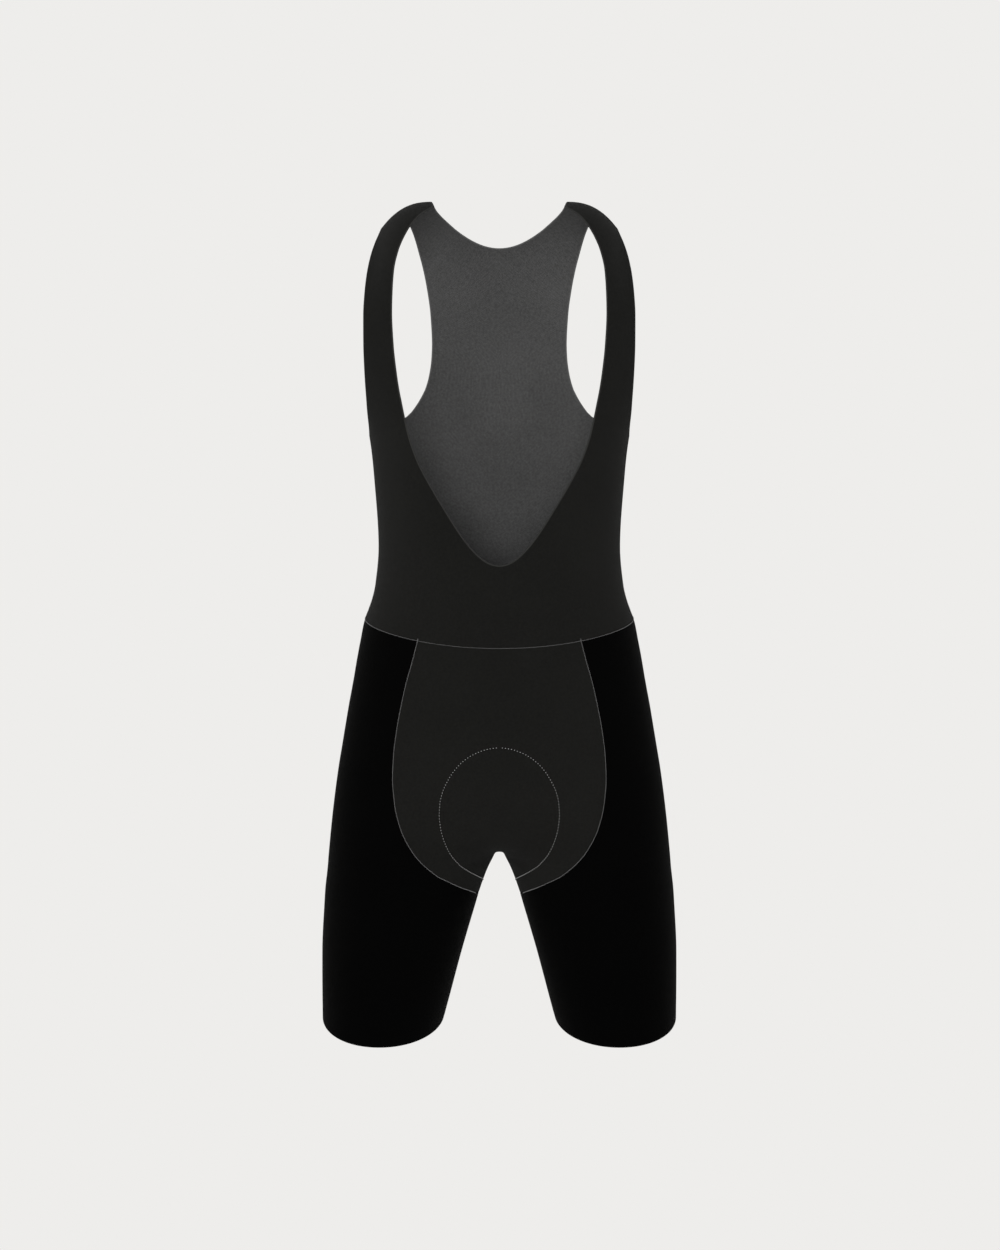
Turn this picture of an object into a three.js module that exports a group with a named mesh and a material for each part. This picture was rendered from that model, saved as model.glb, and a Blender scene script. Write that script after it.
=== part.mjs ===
// Cycling bib shorts, adult size small, worn with no wearer: a hollow, filled-out garment.
// Millimetres, +Z up, the front faces -Y. The origin is between the two straps, on top of the shoulders.
//
// Every piece is cut from one smooth figure. The figure is a stack of level sections, one for each
// drop below the shoulders, and a place on the cloth is a drop and a share u of the half section:
// u = 0 is the centre front (or, below the crotch, the inseam), then the section runs outwards round
// the side, and u = 1 is the centre back (or the inseam again).

import * as THREE from 'three';
import { mergeVertices } from 'three/addons/utils/BufferGeometryUtils.js';

// Cloth and sewing
const CLOTH = 1.2;                 // thickness of the cloth
const SEAM_GAP = 0.32;             // space between two pieces at a seam
const PAD_CLEARANCE = 1.0;         // space between the pad and the cloth that it lies on
const PAD_EDGE = 1.6;              // the pad's thickness at its sewn edge
const PAD_MIDDLE = 8;              // and in its middle
const PAD_SLOPE = 26;              // the pad reaches its full thickness this far from its edge

// Levels, as drops below the top of the shoulders
const ARMHOLE_DROP = 241;          // lowest point of the armholes, at the side seams
const SCOOP_DROP = 362.5;          // lowest point of the front neckline
const NECK_DROP = 48.8;            // lowest point of the back neckline
const WAIST_DROP = 433.5;          // waist seam at the side seams
const WAIST_HALF_WIDTH = 141;
const WAIST_FRONT_DIP = 14.5;      // the waist seam is this much lower at the centre front
const WAIST_BACK_RISE = 13;        // and this much higher at the centre back
const HEM_DROP = 872;              // hem of the legs, level with the middle of the leg
const HEM_TILT = 0.15;             // the hem is higher at the back by this share of the depth
const FRONT_SEAM_END = 734;        // where the front panel's seam meets the inseam
const TIP_CORNER = { drop: 725, deep: 32 };   // the seam is straight from this corner to its end
const PAD_FRONT_TOP = 551.8;
const PAD_BACK_TOP = 566.5;
const PAD_BOTTOM = 717;

// Shoulders: above these drops the front and the back turn over towards the fold
const FOLD_DEPTH = 5;              // depth (y) of the fold, the highest line of the strap
const FRONT_ROUND = 110;
const BACK_ROUND = 75;
const SLOPE_START = 68;            // half width where the shoulder begins to slope down
const SLOPE_EASE = 119;            // where it begins to level off again
const SLOPE_END = 135;             // and where it is level
const SLOPE_WIDTH = 51;
const SLOPE_FALL = 24.2;           // fall of the shoulder line over the slope's width
const SLOPE_POWER = 2.6;
const SLOPE_FADE = 160;            // the slope has faded out at this drop
const STRAP_SEAM_ANGLE = 20;       // the strap's seam with the back, in degrees behind the fold

// The figure's level sections. outer and inner are where one leg's oval begins and ends, as half
// widths; on the body the inner one is on the other side. front and back are depths, square is the
// oval's power (2 is an ellipse) and blend rounds the fork between the two legs.
const SECTIONS = [
  { drop: 0, outer: 150, inner: -150, front: 100, back: 100, square: 2.3, blend: 0 },
  { drop: 100, outer: 165, inner: -165, front: 108, back: 104, square: 2.3, blend: 0 },
  { drop: 160, outer: 162, inner: -162, front: 112, back: 108, square: 2.3, blend: 0 },
  { drop: 200, outer: 149, inner: -149, front: 111, back: 106, square: 2.3, blend: 0 },
  { drop: 241, outer: 134.7, inner: -134.7, front: 108, back: 100, square: 2.3, blend: 0 },
  { drop: 286, outer: 130, inner: -130, front: 103, back: 94, square: 2.3, blend: 0 },
  { drop: 355, outer: 126.2, inner: -126.2, front: 97, back: 89, square: 2.25, blend: 0 },
  { drop: 398, outer: 130.1, inner: -130.1, front: 96, back: 92, square: 2.25, blend: 0 },
  { drop: 412, outer: 133.3, inner: -133.3, front: 96, back: 94.5, square: 2.25, blend: 0 },
  { drop: 425, outer: 137.8, inner: -137.8, front: 96.5, back: 97.5, square: 2.2, blend: 0 },
  { drop: 436, outer: 142, inner: -142, front: 97, back: 100, square: 2.2, blend: 0 },
  { drop: 457, outer: 146.4, inner: -145.8, front: 97, back: 104, square: 2.2, blend: 0 },
  { drop: 478, outer: 150.5, inner: -148, front: 97, back: 108, square: 2.2, blend: 0 },
  { drop: 504, outer: 154.8, inner: -146.8, front: 97, back: 110.5, square: 2.2, blend: 12 },
  { drop: 530, outer: 158.1, inner: -143.5, front: 97, back: 112, square: 2.2, blend: 30 },
  { drop: 583, outer: 169.3, inner: -112, front: 96, back: 111, square: 2.15, blend: 55 },
  { drop: 636, outer: 177, inner: -54, front: 95, back: 105, square: 2.1, blend: 55 },
  { drop: 662, outer: 180, inner: -22, front: 94, back: 101, square: 2.1, blend: 40 },
  { drop: 684.4, outer: 182.3, inner: 3.6, front: 92, back: 97, square: 2.05, blend: 14 },
  { drop: 690.5, outer: 182.9, inner: 6.5, front: 91.7, back: 96.3, square: 2.05, blend: 14 },
  { drop: 702, outer: 183.9, inner: 12.1, front: 91, back: 95, square: 2.05, blend: 16 },
  { drop: 729, outer: 187, inner: 21.8, front: 88, back: 91, square: 2.05, blend: 20 },
  { drop: 743, outer: 188, inner: 25.8, front: 86, back: 89, square: 2.05, blend: 20 },
  { drop: 797, outer: 191, inner: 41.2, front: 80, back: 83, square: 2.05, blend: 20 },
  { drop: 852, outer: 191.5, inner: 55.5, front: 76, back: 78, square: 2.05, blend: 20 },
  { drop: 890, outer: 191.5, inner: 65.5, front: 73, back: 75, square: 2.05, blend: 20 },
];

// Edges and seams. Each row is a drop and how far the line is from the middle there: across (x, as
// seen from the front) or deep (y, as seen from the side).
const STRAP_INNER = [
  { drop: 0, across: 69.5 }, { drop: 1.5, across: 67.8 }, { drop: 4.3, across: 67 },
  { drop: 6, across: 69.3 }, { drop: 8, across: 73.5 }, { drop: 13, across: 81.5 },
  { drop: 21.5, across: 90.1 }, { drop: 30, across: 96.1 }, { drop: 40, across: 101 },
  { drop: 58, across: 105.3 }, { drop: 77, across: 106.5 },
  { drop: 105, across: 107.1 }, { drop: 139, across: 105.7 }, { drop: 169, across: 102.6 },
  { drop: 184, across: 100.5 }, { drop: 199, across: 97.7 }, { drop: 215, across: 94.6 },
  { drop: 230, across: 91.4 }, { drop: 245, across: 86.8 }, { drop: 260, across: 80.8 },
  { drop: 275, across: 73 }, { drop: 290, across: 64.4 }, { drop: 305, across: 55.3 },
  { drop: 320.5, across: 45.8 }, { drop: 336, across: 35.4 }, { drop: 351, across: 22.6 },
  { drop: SCOOP_DROP, across: 0 },
];
const STRAP_OUTER = [
  { drop: 0, across: 121.5 }, { drop: 2.6, across: 123.1 }, { drop: 8.7, across: 126.9 },
  { drop: 21.7, across: 131.2 }, { drop: 43, across: 134.4 }, { drop: 67, across: 136 },
  { drop: 101, across: 137.1 }, { drop: 139, across: 137.2 }, { drop: 171, across: 136.4 },
  { drop: 202, across: 135.2 },
];
const ARMHOLE_FRONT = [
  { drop: 186, deep: 61.8 }, { drop: 202, deep: 54.1 }, { drop: 218.6, deep: 42.6 },
  { drop: 232.5, deep: 27.6 }, { drop: 239.4, deep: 12 }, { drop: ARMHOLE_DROP, deep: 0 },
];
const ARMHOLE_BACK = [
  { drop: 199, deep: 94.3 }, { drop: 214.6, deep: 87.5 }, { drop: 229.6, deep: 74.4 },
  { drop: 235.5, deep: 55 }, { drop: 239.3, deep: 32 }, { drop: ARMHOLE_DROP, deep: 0 },
];
const BACK_OUTER = [
  { drop: 0, across: 121.5 }, { drop: 3, across: 116 }, { drop: 7, across: 110 },
  { drop: 12, across: 103 }, { drop: 19.5, across: 95.2 }, { drop: 27, across: 92.4 },
  { drop: 38.7, across: 89.2 }, { drop: 52.3, across: 86 }, { drop: 72.3, across: 81.3 },
  { drop: 91.7, across: 77.7 }, { drop: 118.6, across: 74.2 }, { drop: 150.9, across: 72.7 },
  { drop: 167, across: 73.4 }, { drop: 183, across: 75.6 }, { drop: 199, across: 80 },
  { drop: 214.6, across: 88.3 },
];
const BACK_NECK = [
  { drop: 0, across: 69.5 }, { drop: 1.5, across: 68.6 }, { drop: 4, across: 67.9 },
  { drop: 8.8, across: 65.7 }, { drop: 15.2, across: 60.7 }, { drop: 21.5, across: 54.3 },
  { drop: 28, across: 47.3 }, { drop: 34.3, across: 39.1 }, { drop: 40.8, across: 28.7 },
  { drop: NECK_DROP, across: 0 },
];
const FRONT_SEAM = [
  { drop: 442, across: 83.3 }, { drop: 462.5, across: 88.6 }, { drop: 488, across: 95.7 },
  { drop: 513, across: 101.3 }, { drop: 538, across: 105.9 }, { drop: 563.5, across: 109.1 },
  { drop: 589, across: 110.3 }, { drop: 614, across: 108.4 }, { drop: 638, across: 102.8 },
  { drop: 663, across: 90.4 }, { drop: 676, across: 80.4 }, { drop: 690.7, across: 65.4 },
];
const FRONT_SEAM_UNDER = [
  { drop: 676, deep: 92.4 }, { drop: 690.7, deep: 86.9 }, { drop: 700, deep: 78.6 },
  { drop: 709.5, deep: 65.4 }, { drop: 717.3, deep: 50 }, TIP_CORNER,
  { drop: FRONT_SEAM_END, deep: 0 },
];
const PAD_FRONT = [
  { drop: 550.3, across: 0 }, { drop: 559, across: 30 }, { drop: 572, across: 44.9 },
  { drop: 585, across: 53.4 }, { drop: 598, across: 59.2 }, { drop: 611, across: 62.2 },
  { drop: 624, across: 63 }, { drop: 637, across: 61.8 }, { drop: 650, across: 58.8 },
  { drop: 664, across: 53.3 }, { drop: 680, across: 43.5 },
];
const PAD_FRONT_UNDER = [
  { drop: 664, deep: 91 }, { drop: 680, deep: 79.6 }, { drop: 690.7, deep: 67.8 },
  { drop: 701, deep: 49.8 }, { drop: 707, deep: 36.2 }, { drop: 712.4, deep: 22 },
  { drop: 718, deep: 0 },
];
const PAD_BACK = [
  { drop: 565, across: 0 }, { drop: 576, across: 32 }, { drop: 590, across: 48 },
  { drop: 606, across: 60 }, { drop: 620, across: 65.4 }, { drop: 634, across: 67 },
  { drop: 648, across: 64.8 }, { drop: 661, across: 59 }, { drop: 676, across: 48 },
];
const PAD_BACK_UNDER = [
  { drop: 660, deep: 100 }, { drop: 676, deep: 89 }, { drop: 690, deep: 72.5 },
  { drop: 701, deep: 53.5 }, { drop: 712.4, deep: 28 }, { drop: 718, deep: 0 },
];

// A line that turns round the body is given across down to this drop, and by its depth below it
const JOIN = { strapOuter: 202, backOuter: 214.6, frontSeam: 690.7, padFront: 680, padBack: 676 };

// Helpers

const mix = (a, b, t) => a + (b - a) * t;
const radians = (degrees) => (degrees * Math.PI) / 180;
const clamp = THREE.MathUtils.clamp;

// evenly spaced levels after `from`, ending on `to`
function evenly(from, to, count) {
  return Array.from({ length: count }, (_, i) => mix(from, to, (i + 1) / count));
}

// levels after `from`, ending on `to`, that start close together, for an edge that turns round there
function graded(from, to, count) {
  return Array.from({ length: count }, (_, i) => mix(from, to, ((i + 1) / count) ** 2));
}

// a smooth curve through a table's rows, with no overshoot
function curveThrough(xs, ys) {
  const last = xs.length - 1;
  const step = (i) => (ys[i + 1] - ys[i]) / (xs[i + 1] - xs[i]);
  const slopes = xs.map((_, i) => {
    if (i === 0) return step(0);
    if (i === last) return step(last - 1);
    if (step(i - 1) * step(i) <= 0) return 0;
    const before = xs[i] - xs[i - 1];
    const after = xs[i + 1] - xs[i];
    const weightBefore = 2 * after + before;
    const weightAfter = after + 2 * before;
    return (weightBefore + weightAfter) / (weightBefore / step(i - 1) + weightAfter / step(i));
  });
  return (x) => {
    const at = clamp(x, xs[0], xs[last]);
    let i = 0;
    while (i < last - 1 && at > xs[i + 1]) i += 1;
    const width = xs[i + 1] - xs[i];
    const t = (at - xs[i]) / width;
    return (
      (1 + 2 * t) * (1 - t) ** 2 * ys[i] +
      t * (1 - t) ** 2 * width * slopes[i] +
      t * t * (3 - 2 * t) * ys[i + 1] +
      t * t * (t - 1) * width * slopes[i + 1]
    );
  };
}

// where a function that grows from below zero crosses it
function crossing(f, low, high) {
  let inside = low;
  let outside = high;
  for (let i = 0; i < 48; i += 1) {
    const middle = (inside + outside) / 2;
    if (f(middle) < 0) inside = middle;
    else outside = middle;
  }
  return (inside + outside) / 2;
}

// The figure

const ringCurves = Object.fromEntries(
  ['outer', 'inner', 'front', 'back', 'square', 'blend'].map((column) => [
    column,
    curveThrough(SECTIONS.map((row) => row.drop), SECTIONS.map((row) => row[column])),
  ]),
);

function ringAt(drop) {
  return Object.fromEntries(Object.entries(ringCurves).map(([name, curve]) => [name, curve(drop)]));
}

// below zero inside the figure: two leg ovals, joined with a rounded fork
function distanceOut(ring, x, y) {
  const centre = (ring.outer + ring.inner) / 2;
  const halfWidth = (ring.outer - ring.inner) / 2;
  const depth = y < 0 ? ring.front : ring.back;
  const deep = Math.abs(y / depth) ** ring.square;
  const outOf = (middle) => {
    const wide = Math.abs((x - middle) / halfWidth) ** ring.square;
    return ((wide + deep) ** (1 / ring.square) - 1) * halfWidth;
  };
  const left = outOf(centre);
  const right = outOf(-centre);
  const overlap = ring.blend > 0 ? Math.max(ring.blend - Math.abs(left - right), 0) / ring.blend : 0;
  return Math.min(left, right) - (overlap * overlap * ring.blend) / 4;
}

const ABOVE_FORK = 640;
const BELOW_FORK = 720;
const CROTCH_DROP = crossing((drop) => distanceOut(ringAt(drop), 0, 0), ABOVE_FORK, BELOW_FORK);
const SECTION_STEPS = 240;
const REACH = 260;                 // further out than any point of a section
const sections = new Map();

// the half section at a drop, as points and their distances along it
function halfSection(drop) {
  const key = drop.toFixed(4);
  if (sections.has(key)) return sections.get(key);
  const ring = ringAt(drop);
  const centre = (ring.outer + ring.inner) / 2;
  const onBody = drop < CROTCH_DROP;
  let start = -Math.PI / 2;
  let end = 1.5 * Math.PI;
  let frontDepth = 0;
  let backDepth = 0;
  if (onBody) {
    frontDepth = crossing((y) => distanceOut(ring, 0, -y), 0, REACH);
    backDepth = crossing((y) => distanceOut(ring, 0, y), 0, REACH);
    start = Math.atan2(-centre, frontDepth);
    end = Math.atan2(-centre, -backDepth);
    if (end <= 0) end += 2 * Math.PI;
  }
  const points = [];
  for (let i = 0; i <= SECTION_STEPS; i += 1) {
    const angle = mix(start, end, i / SECTION_STEPS);
    const across = Math.sin(angle);
    const deep = -Math.cos(angle);
    const toMiddle = across < 0 ? -centre / across : REACH;
    const out = (r) => distanceOut(ring, centre + r * across, r * deep);
    const reach = crossing(out, 0, Math.min(REACH, toMiddle));
    points.push({ x: centre + reach * across, y: reach * deep });
  }
  if (onBody) {
    points[0] = { x: 0, y: -frontDepth };
    points[SECTION_STEPS] = { x: 0, y: backDepth };
  } else {
    points[SECTION_STEPS] = { ...points[0] };
  }
  if (Math.abs(drop - CROTCH_DROP) < 1e-6) {
    points[0] = { x: 0, y: 0 };
    points[SECTION_STEPS] = { x: 0, y: 0 };
  }
  const along = [0];
  for (let i = 1; i <= SECTION_STEPS; i += 1) {
    const last = points[i - 1];
    along.push(along[i - 1] + Math.hypot(points[i].x - last.x, points[i].y - last.y));
  }
  const best = (score) =>
    points.reduce((top, point, i) => (score(point) > score(points[top]) ? i : top), 0);
  const section = {
    points,
    along,
    length: along[SECTION_STEPS],
    side: best((point) => point.x),
    foremost: best((point) => -point.y),
    hindmost: best((point) => point.y),
  };
  sections.set(key, section);
  return section;
}

// the level point at a share u of the half section
function levelPoint(drop, u) {
  const { points, along, length } = halfSection(drop);
  const target = clamp(u, 0, 1) * length;
  let low = 0;
  let high = SECTION_STEPS;
  while (high - low > 1) {
    const middle = (low + high) >> 1;
    if (along[middle] <= target) low = middle;
    else high = middle;
  }
  const t = (target - along[low]) / (along[high] - along[low]);
  return { x: mix(points[low].x, points[high].x, t), y: mix(points[low].y, points[high].y, t) };
}

// the distance from the middle, easing to a stop past the strap's outer part
function eased(across) {
  const over = clamp(across - SLOPE_EASE, 0, SLOPE_END - SLOPE_EASE);
  return Math.min(across, SLOPE_END) - over ** 2 / (2 * (SLOPE_END - SLOPE_EASE));
}

// the place on the figure: level on the body and legs, turned over towards the fold at the shoulders
function place(drop, u) {
  const { x, y } = levelPoint(drop, u);
  const round = y < 0 ? FRONT_ROUND : BACK_ROUND;
  const left = clamp(1 - drop / round, 0, 1);
  const out = Math.sqrt(1 - left * left);
  const past = Math.max(eased(Math.abs(x)) - SLOPE_START, 0);
  const slope = SLOPE_FALL * (past / SLOPE_WIDTH) ** SLOPE_POWER;
  const fade = 1 - THREE.MathUtils.smoothstep(drop, 0, SLOPE_FADE);
  return new THREE.Vector3(x, FOLD_DEPTH + (y - FOLD_DEPTH) * out, -drop - slope * fade);
}

// Lines on the figure: each gives its share u at a drop

function shareBetween(drop, from, to, value, measure) {
  const { points, along, length } = halfSection(drop);
  const rising = measure(points[to]) > measure(points[from]);
  for (let i = from; i < to; i += 1) {
    const a = measure(points[i]);
    const b = measure(points[i + 1]);
    if (rising ? b >= value : b <= value) {
      const t = b === a ? 0 : clamp((value - a) / (b - a), 0, 1);
      return mix(along[i], along[i + 1], t) / length;
    }
  }
  return along[to] / length;
}

// the distance from the middle is interpolated by its square, which keeps a rounded end round
function distanceAt(rows, column) {
  const curve = curveThrough(rows.map((row) => row.drop), rows.map((row) => row[column] ** 2));
  return (drop) => Math.sqrt(Math.max(curve(drop), 0));
}

function frontLine(rows) {
  const across = distanceAt(rows, 'across');
  return (drop) => shareBetween(drop, 0, halfSection(drop).side, across(drop), (point) => point.x);
}

function backLine(rows) {
  const across = distanceAt(rows, 'across');
  const toBack = (drop) => [halfSection(drop).side, SECTION_STEPS];
  return (drop) => shareBetween(drop, ...toBack(drop), across(drop), (point) => point.x);
}

// a line given by its depth on the stretch of the section between two of its named points
function deepLine(rows, sign, stretch) {
  const deep = distanceAt(rows, 'deep');
  return (drop) => {
    const [from, to] = stretch(halfSection(drop));
    return shareBetween(drop, from, to, sign * deep(drop), (point) => point.y);
  };
}

// one line down to a drop, and another one below it
const joined = (upper, drop, lower) => (at) => (at < drop ? upper(at) : lower(at));

const start = () => 0;
const end = () => 1;
const sideSeam = (drop) => halfSection(drop).along[halfSection(drop).side] / halfSection(drop).length;
const strapInner = frontLine(STRAP_INNER);
const strapOuter = joined(
  frontLine(STRAP_OUTER),
  JOIN.strapOuter,
  deepLine(ARMHOLE_FRONT, -1, (section) => [section.foremost, section.side]),
);
const backOuter = joined(
  backLine(BACK_OUTER),
  JOIN.backOuter,
  deepLine(ARMHOLE_BACK, 1, (section) => [section.side, section.hindmost]),
);
const backNeck = backLine(BACK_NECK);
const frontSeam = joined(
  frontLine(FRONT_SEAM),
  JOIN.frontSeam,
  deepLine(FRONT_SEAM_UNDER, -1, (section) => [0, section.foremost]),
);
const padFront = joined(
  frontLine(PAD_FRONT),
  JOIN.padFront,
  deepLine(PAD_FRONT_UNDER, -1, (section) => [0, section.foremost]),
);
const padBack = joined(
  backLine(PAD_BACK),
  JOIN.padBack,
  deepLine(PAD_BACK_UNDER, 1, (section) => [section.hindmost, SECTION_STEPS]),
);

// Levels that aren't flat: the waist seam and the hem

function waistDrop(point) {
  const inwards = 1 - Math.min((point.x / WAIST_HALF_WIDTH) ** 2, 1);
  return WAIST_DROP + inwards * (point.y < 0 ? WAIST_FRONT_DIP : -WAIST_BACK_RISE);
}

const hemDrop = (point) => HEM_DROP - HEM_TILT * point.y;

// rows that pass over from a slanted line to a flat level, or back
function between(line, level, count) {
  return evenly(0, 1, count).map((t) => (point) => mix(line(point), level, t));
}

// Rows of points

const rowsOn = (levels, from, to) => levels.map((level) => ({ level, from, to }));

// a level that depends on its own place is found by coming closer to it step by step
function settle(level, shareAt) {
  if (typeof level === 'number') return level;
  let drop = level({ x: WAIST_HALF_WIDTH, y: 0 });
  let change = Infinity;
  for (let i = 0; i < 40 && change > 1e-4; i += 1) {
    const next = level(levelPoint(drop, shareAt(drop)));
    change = Math.abs(next - drop);
    drop = next;
  }
  return drop;
}

// a grid of points on the figure, a row for each level, spread evenly between the row's two lines
function grid(rows, columns) {
  return rows.map(({ level, from, to }) =>
    [0, ...evenly(0, 1, columns)].map((across) => {
      const shareAt = (drop) => mix(from(drop), to(drop), across);
      const drop = settle(level, shareAt);
      return place(drop, shareAt(drop));
    }),
  );
}

// Walls of cloth

// one surface of triangles from one or more grids, each with its mirror image where mirrored is true
function surface(grids, mirrored) {
  const positions = [];
  const faces = [];
  const add = (rows, sign) => {
    const columns = rows[0].length;
    const base = positions.length / 3;
    rows.forEach((row) => row.forEach((point) => positions.push(sign * point.x, point.y, point.z)));
    for (let r = 0; r + 1 < rows.length; r += 1) {
      for (let c = 0; c + 1 < columns; c += 1) {
        const a = base + r * columns + c;
        const b = a + 1;
        const under = a + columns;
        // each four-sided cell is cut along its shorter diagonal
        const fromA = rows[r][c].distanceTo(rows[r + 1][c + 1]);
        const fromB = rows[r][c + 1].distanceTo(rows[r + 1][c]);
        const triangles = fromA < fromB
          ? [[a, under, under + 1], [a, under + 1, b]]
          : [[a, under, b], [b, under, under + 1]];
        triangles.forEach((t) => faces.push(...(sign > 0 ? t : [t[0], t[2], t[1]])));
      }
    }
  };
  grids.forEach((rows) => {
    add(rows, 1);
    if (mirrored) add(rows, -1);
  });
  const geometry = new THREE.BufferGeometry();
  geometry.setAttribute('position', new THREE.Float32BufferAttribute(positions, 3));
  geometry.setIndex(faces);
  return grids.length > 1 || mirrored ? mergeVertices(geometry, 1e-3) : geometry;
}

// the directed edges that only one triangle uses
function rimEdges(index) {
  const edges = new Map();
  for (let i = 0; i < index.length; i += 3) {
    for (let k = 0; k < 3; k += 1) {
      const a = index[i + k];
      const b = index[i + ((k + 1) % 3)];
      if (!edges.delete(`${b},${a}`)) edges.set(`${a},${b}`, [a, b]);
    }
  }
  return [...edges.values()];
}

// moves the rim inwards, along the cloth, by half the gap of a seam
function trimRim(points, normals, edges) {
  const inward = points.map(() => []);
  edges.forEach(([a, b]) => {
    const along = points[b].clone().sub(points[a]).normalize();
    [a, b].forEach((i) => inward[i].push(normals[i].clone().cross(along).normalize()));
  });
  inward.forEach((sides, i) => {
    if (sides.length !== 2) return;
    const both = sides[0].clone().add(sides[1]);
    const share = Math.max(1 + sides[0].dot(sides[1]), 0.5);
    points[i].addScaledVector(both, SEAM_GAP / 2 / share);
  });
}

// a closed wall round a surface: outside and inside are how far its two faces lie from the surface,
// towards the outside, and may depend on the distance from the rim
function wall(base, outside, inside) {
  base.computeVertexNormals();
  const index = [...base.index.array];
  const vector = (attribute, i) => new THREE.Vector3().fromBufferAttribute(attribute, i);
  const read = (attribute) => Array.from({ length: attribute.count }, (_, i) => vector(attribute, i));
  const points = read(base.attributes.position);
  const normals = read(base.attributes.normal);
  // the figure is symmetric, so on its middle plane the cloth faces neither side
  normals.forEach((normal, i) => {
    if (Math.abs(points[i].x) < 1e-3) normal.setX(0).normalize();
  });
  const edges = rimEdges(index);
  trimRim(points, normals, edges);
  const rim = edges.map(([a]) => points[a]);
  const positions = [];
  [outside, inside].forEach((offset) => {
    points.forEach((point, i) => {
      const fromRim = Math.min(...rim.map((other) => other.distanceTo(point)));
      positions.push(...point.clone().addScaledVector(normals[i], offset(fromRim)));
    });
  });
  const faces = [...index];
  const count = points.length;
  for (let i = 0; i < index.length; i += 3) {
    faces.push(index[i] + count, index[i + 2] + count, index[i + 1] + count);
  }
  edges.forEach(([a, b]) => faces.push(b, a, a + count, b, a + count, b + count));
  const geometry = new THREE.BufferGeometry();
  geometry.setAttribute('position', new THREE.Float32BufferAttribute(positions, 3));
  geometry.setIndex(faces);
  return geometry;
}

const clothWall = (base) => wall(base, () => CLOTH / 2, () => -CLOTH / 2);

const charcoal = () => new THREE.MeshStandardMaterial({ color: 0x1d1d1b, roughness: 0.75, metalness: 0 });
const black = () => new THREE.MeshStandardMaterial({ color: 0x060606, roughness: 0.6, metalness: 0 });
const meshGrey = () => new THREE.MeshStandardMaterial({ color: 0x444444, roughness: 0.85, metalness: 0 });
const padGrey = () => new THREE.MeshStandardMaterial({ color: 0x2f3133, roughness: 0.95, metalness: 0 });

function piece(name, geometry, material) {
  const mesh = new THREE.Mesh(geometry, material);
  mesh.name = name;
  return mesh;
}

// Levels that several pieces share

const frontTurn = (degrees) => FRONT_ROUND * (1 - Math.cos(radians(degrees)));
const backTurn = (degrees) => BACK_ROUND * (1 - Math.cos(radians(degrees)));
const STRAP_SEAM_DROP = backTurn(STRAP_SEAM_ANGLE);
const ARM_LEVEL = 200;             // below this level the armholes turn round under the arms
const SCOOP_LEVEL = 310;           // and the scoop turns round below this one
const BIB_LEVEL = 400;             // the last flat level above the waist seam
const SHORTS_LEVEL = 478;          // the first flat level below it
const SEAT_LEVEL = 636;
const HEM_LEVEL = 818;             // the last flat level above the hem
const TIP_LEVEL = 716.5;           // the last flat level of the front panel

// levels down to one where an edge turns round, close together at the end
const closing = (from, to, count) => [...graded(to, from, count).reverse().slice(1), to];

const BODY_LEVELS = [...evenly(FRONT_ROUND, ARM_LEVEL, 5), ...closing(ARM_LEVEL, ARMHOLE_DROP, 3)];

const halfWayToWaist = between(waistDrop, BIB_LEVEL, 2)[0];

// the front panel's last edge, just above the straight end of its seam
const tipDrop = (point) =>
  FRONT_SEAM_END - SEAM_GAP / 2 + ((FRONT_SEAM_END - TIP_CORNER.drop) / TIP_CORNER.deep) * point.y;

const SHORTS_LEVELS = [
  waistDrop,
  ...between(waistDrop, SHORTS_LEVEL, 2),
  ...evenly(SHORTS_LEVEL, SEAT_LEVEL, 7),
  ...closing(SEAT_LEVEL, CROTCH_DROP, 5),
  ...graded(CROTCH_DROP, TIP_LEVEL, 3),
];

// The pieces

const COLUMNS = { bib: 7, back: 9, front: 9, leg: 24, pad: 6 };   // how finely each one is divided across

// bib front with its two straps, from the seam behind the shoulders, over the fold and down to the waist
function bibFront() {
  const behind = [STRAP_SEAM_ANGLE, 12, 5].map(backTurn);
  const before = [0, 7, 15, 24, 34, 45, 57, 69, 80].map(frontTurn);
  const rows = [
    ...rowsOn(behind, backNeck, backOuter),
    ...rowsOn([...before, FRONT_ROUND, ...BODY_LEVELS], strapInner, strapOuter),
    ...rowsOn(evenly(ARMHOLE_DROP, SCOOP_LEVEL, 4), strapInner, sideSeam),
    ...rowsOn(closing(SCOOP_LEVEL, SCOOP_DROP, 4), strapInner, sideSeam),
    ...rowsOn(evenly(SCOOP_DROP, BIB_LEVEL, 2), start, sideSeam),
    ...rowsOn([halfWayToWaist, waistDrop], start, sideSeam),
  ];
  return piece('bib_front', clothWall(surface([grid(rows, COLUMNS.bib)], true)), charcoal());
}

// racerback, from the straps' seams down to the waist
function backPanel() {
  const rows = [
    ...rowsOn([STRAP_SEAM_DROP, ...closing(STRAP_SEAM_DROP, NECK_DROP, 9)], backOuter, backNeck),
    ...rowsOn([...evenly(NECK_DROP, FRONT_ROUND, 4), ...BODY_LEVELS], backOuter, end),
    ...rowsOn(evenly(ARMHOLE_DROP, BIB_LEVEL, 8), sideSeam, end),
    ...rowsOn([halfWayToWaist, waistDrop], sideSeam, end),
  ];
  return piece('back_panel', clothWall(surface([grid(rows, COLUMNS.back)], true)), meshGrey());
}

// centre front of the shorts, with a tip that runs down each inseam
function frontPanel() {
  const rows = rowsOn([...SHORTS_LEVELS, tipDrop], start, frontSeam);
  return piece('front_panel', clothWall(surface([grid(rows, COLUMNS.front)], true)), charcoal());
}

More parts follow.
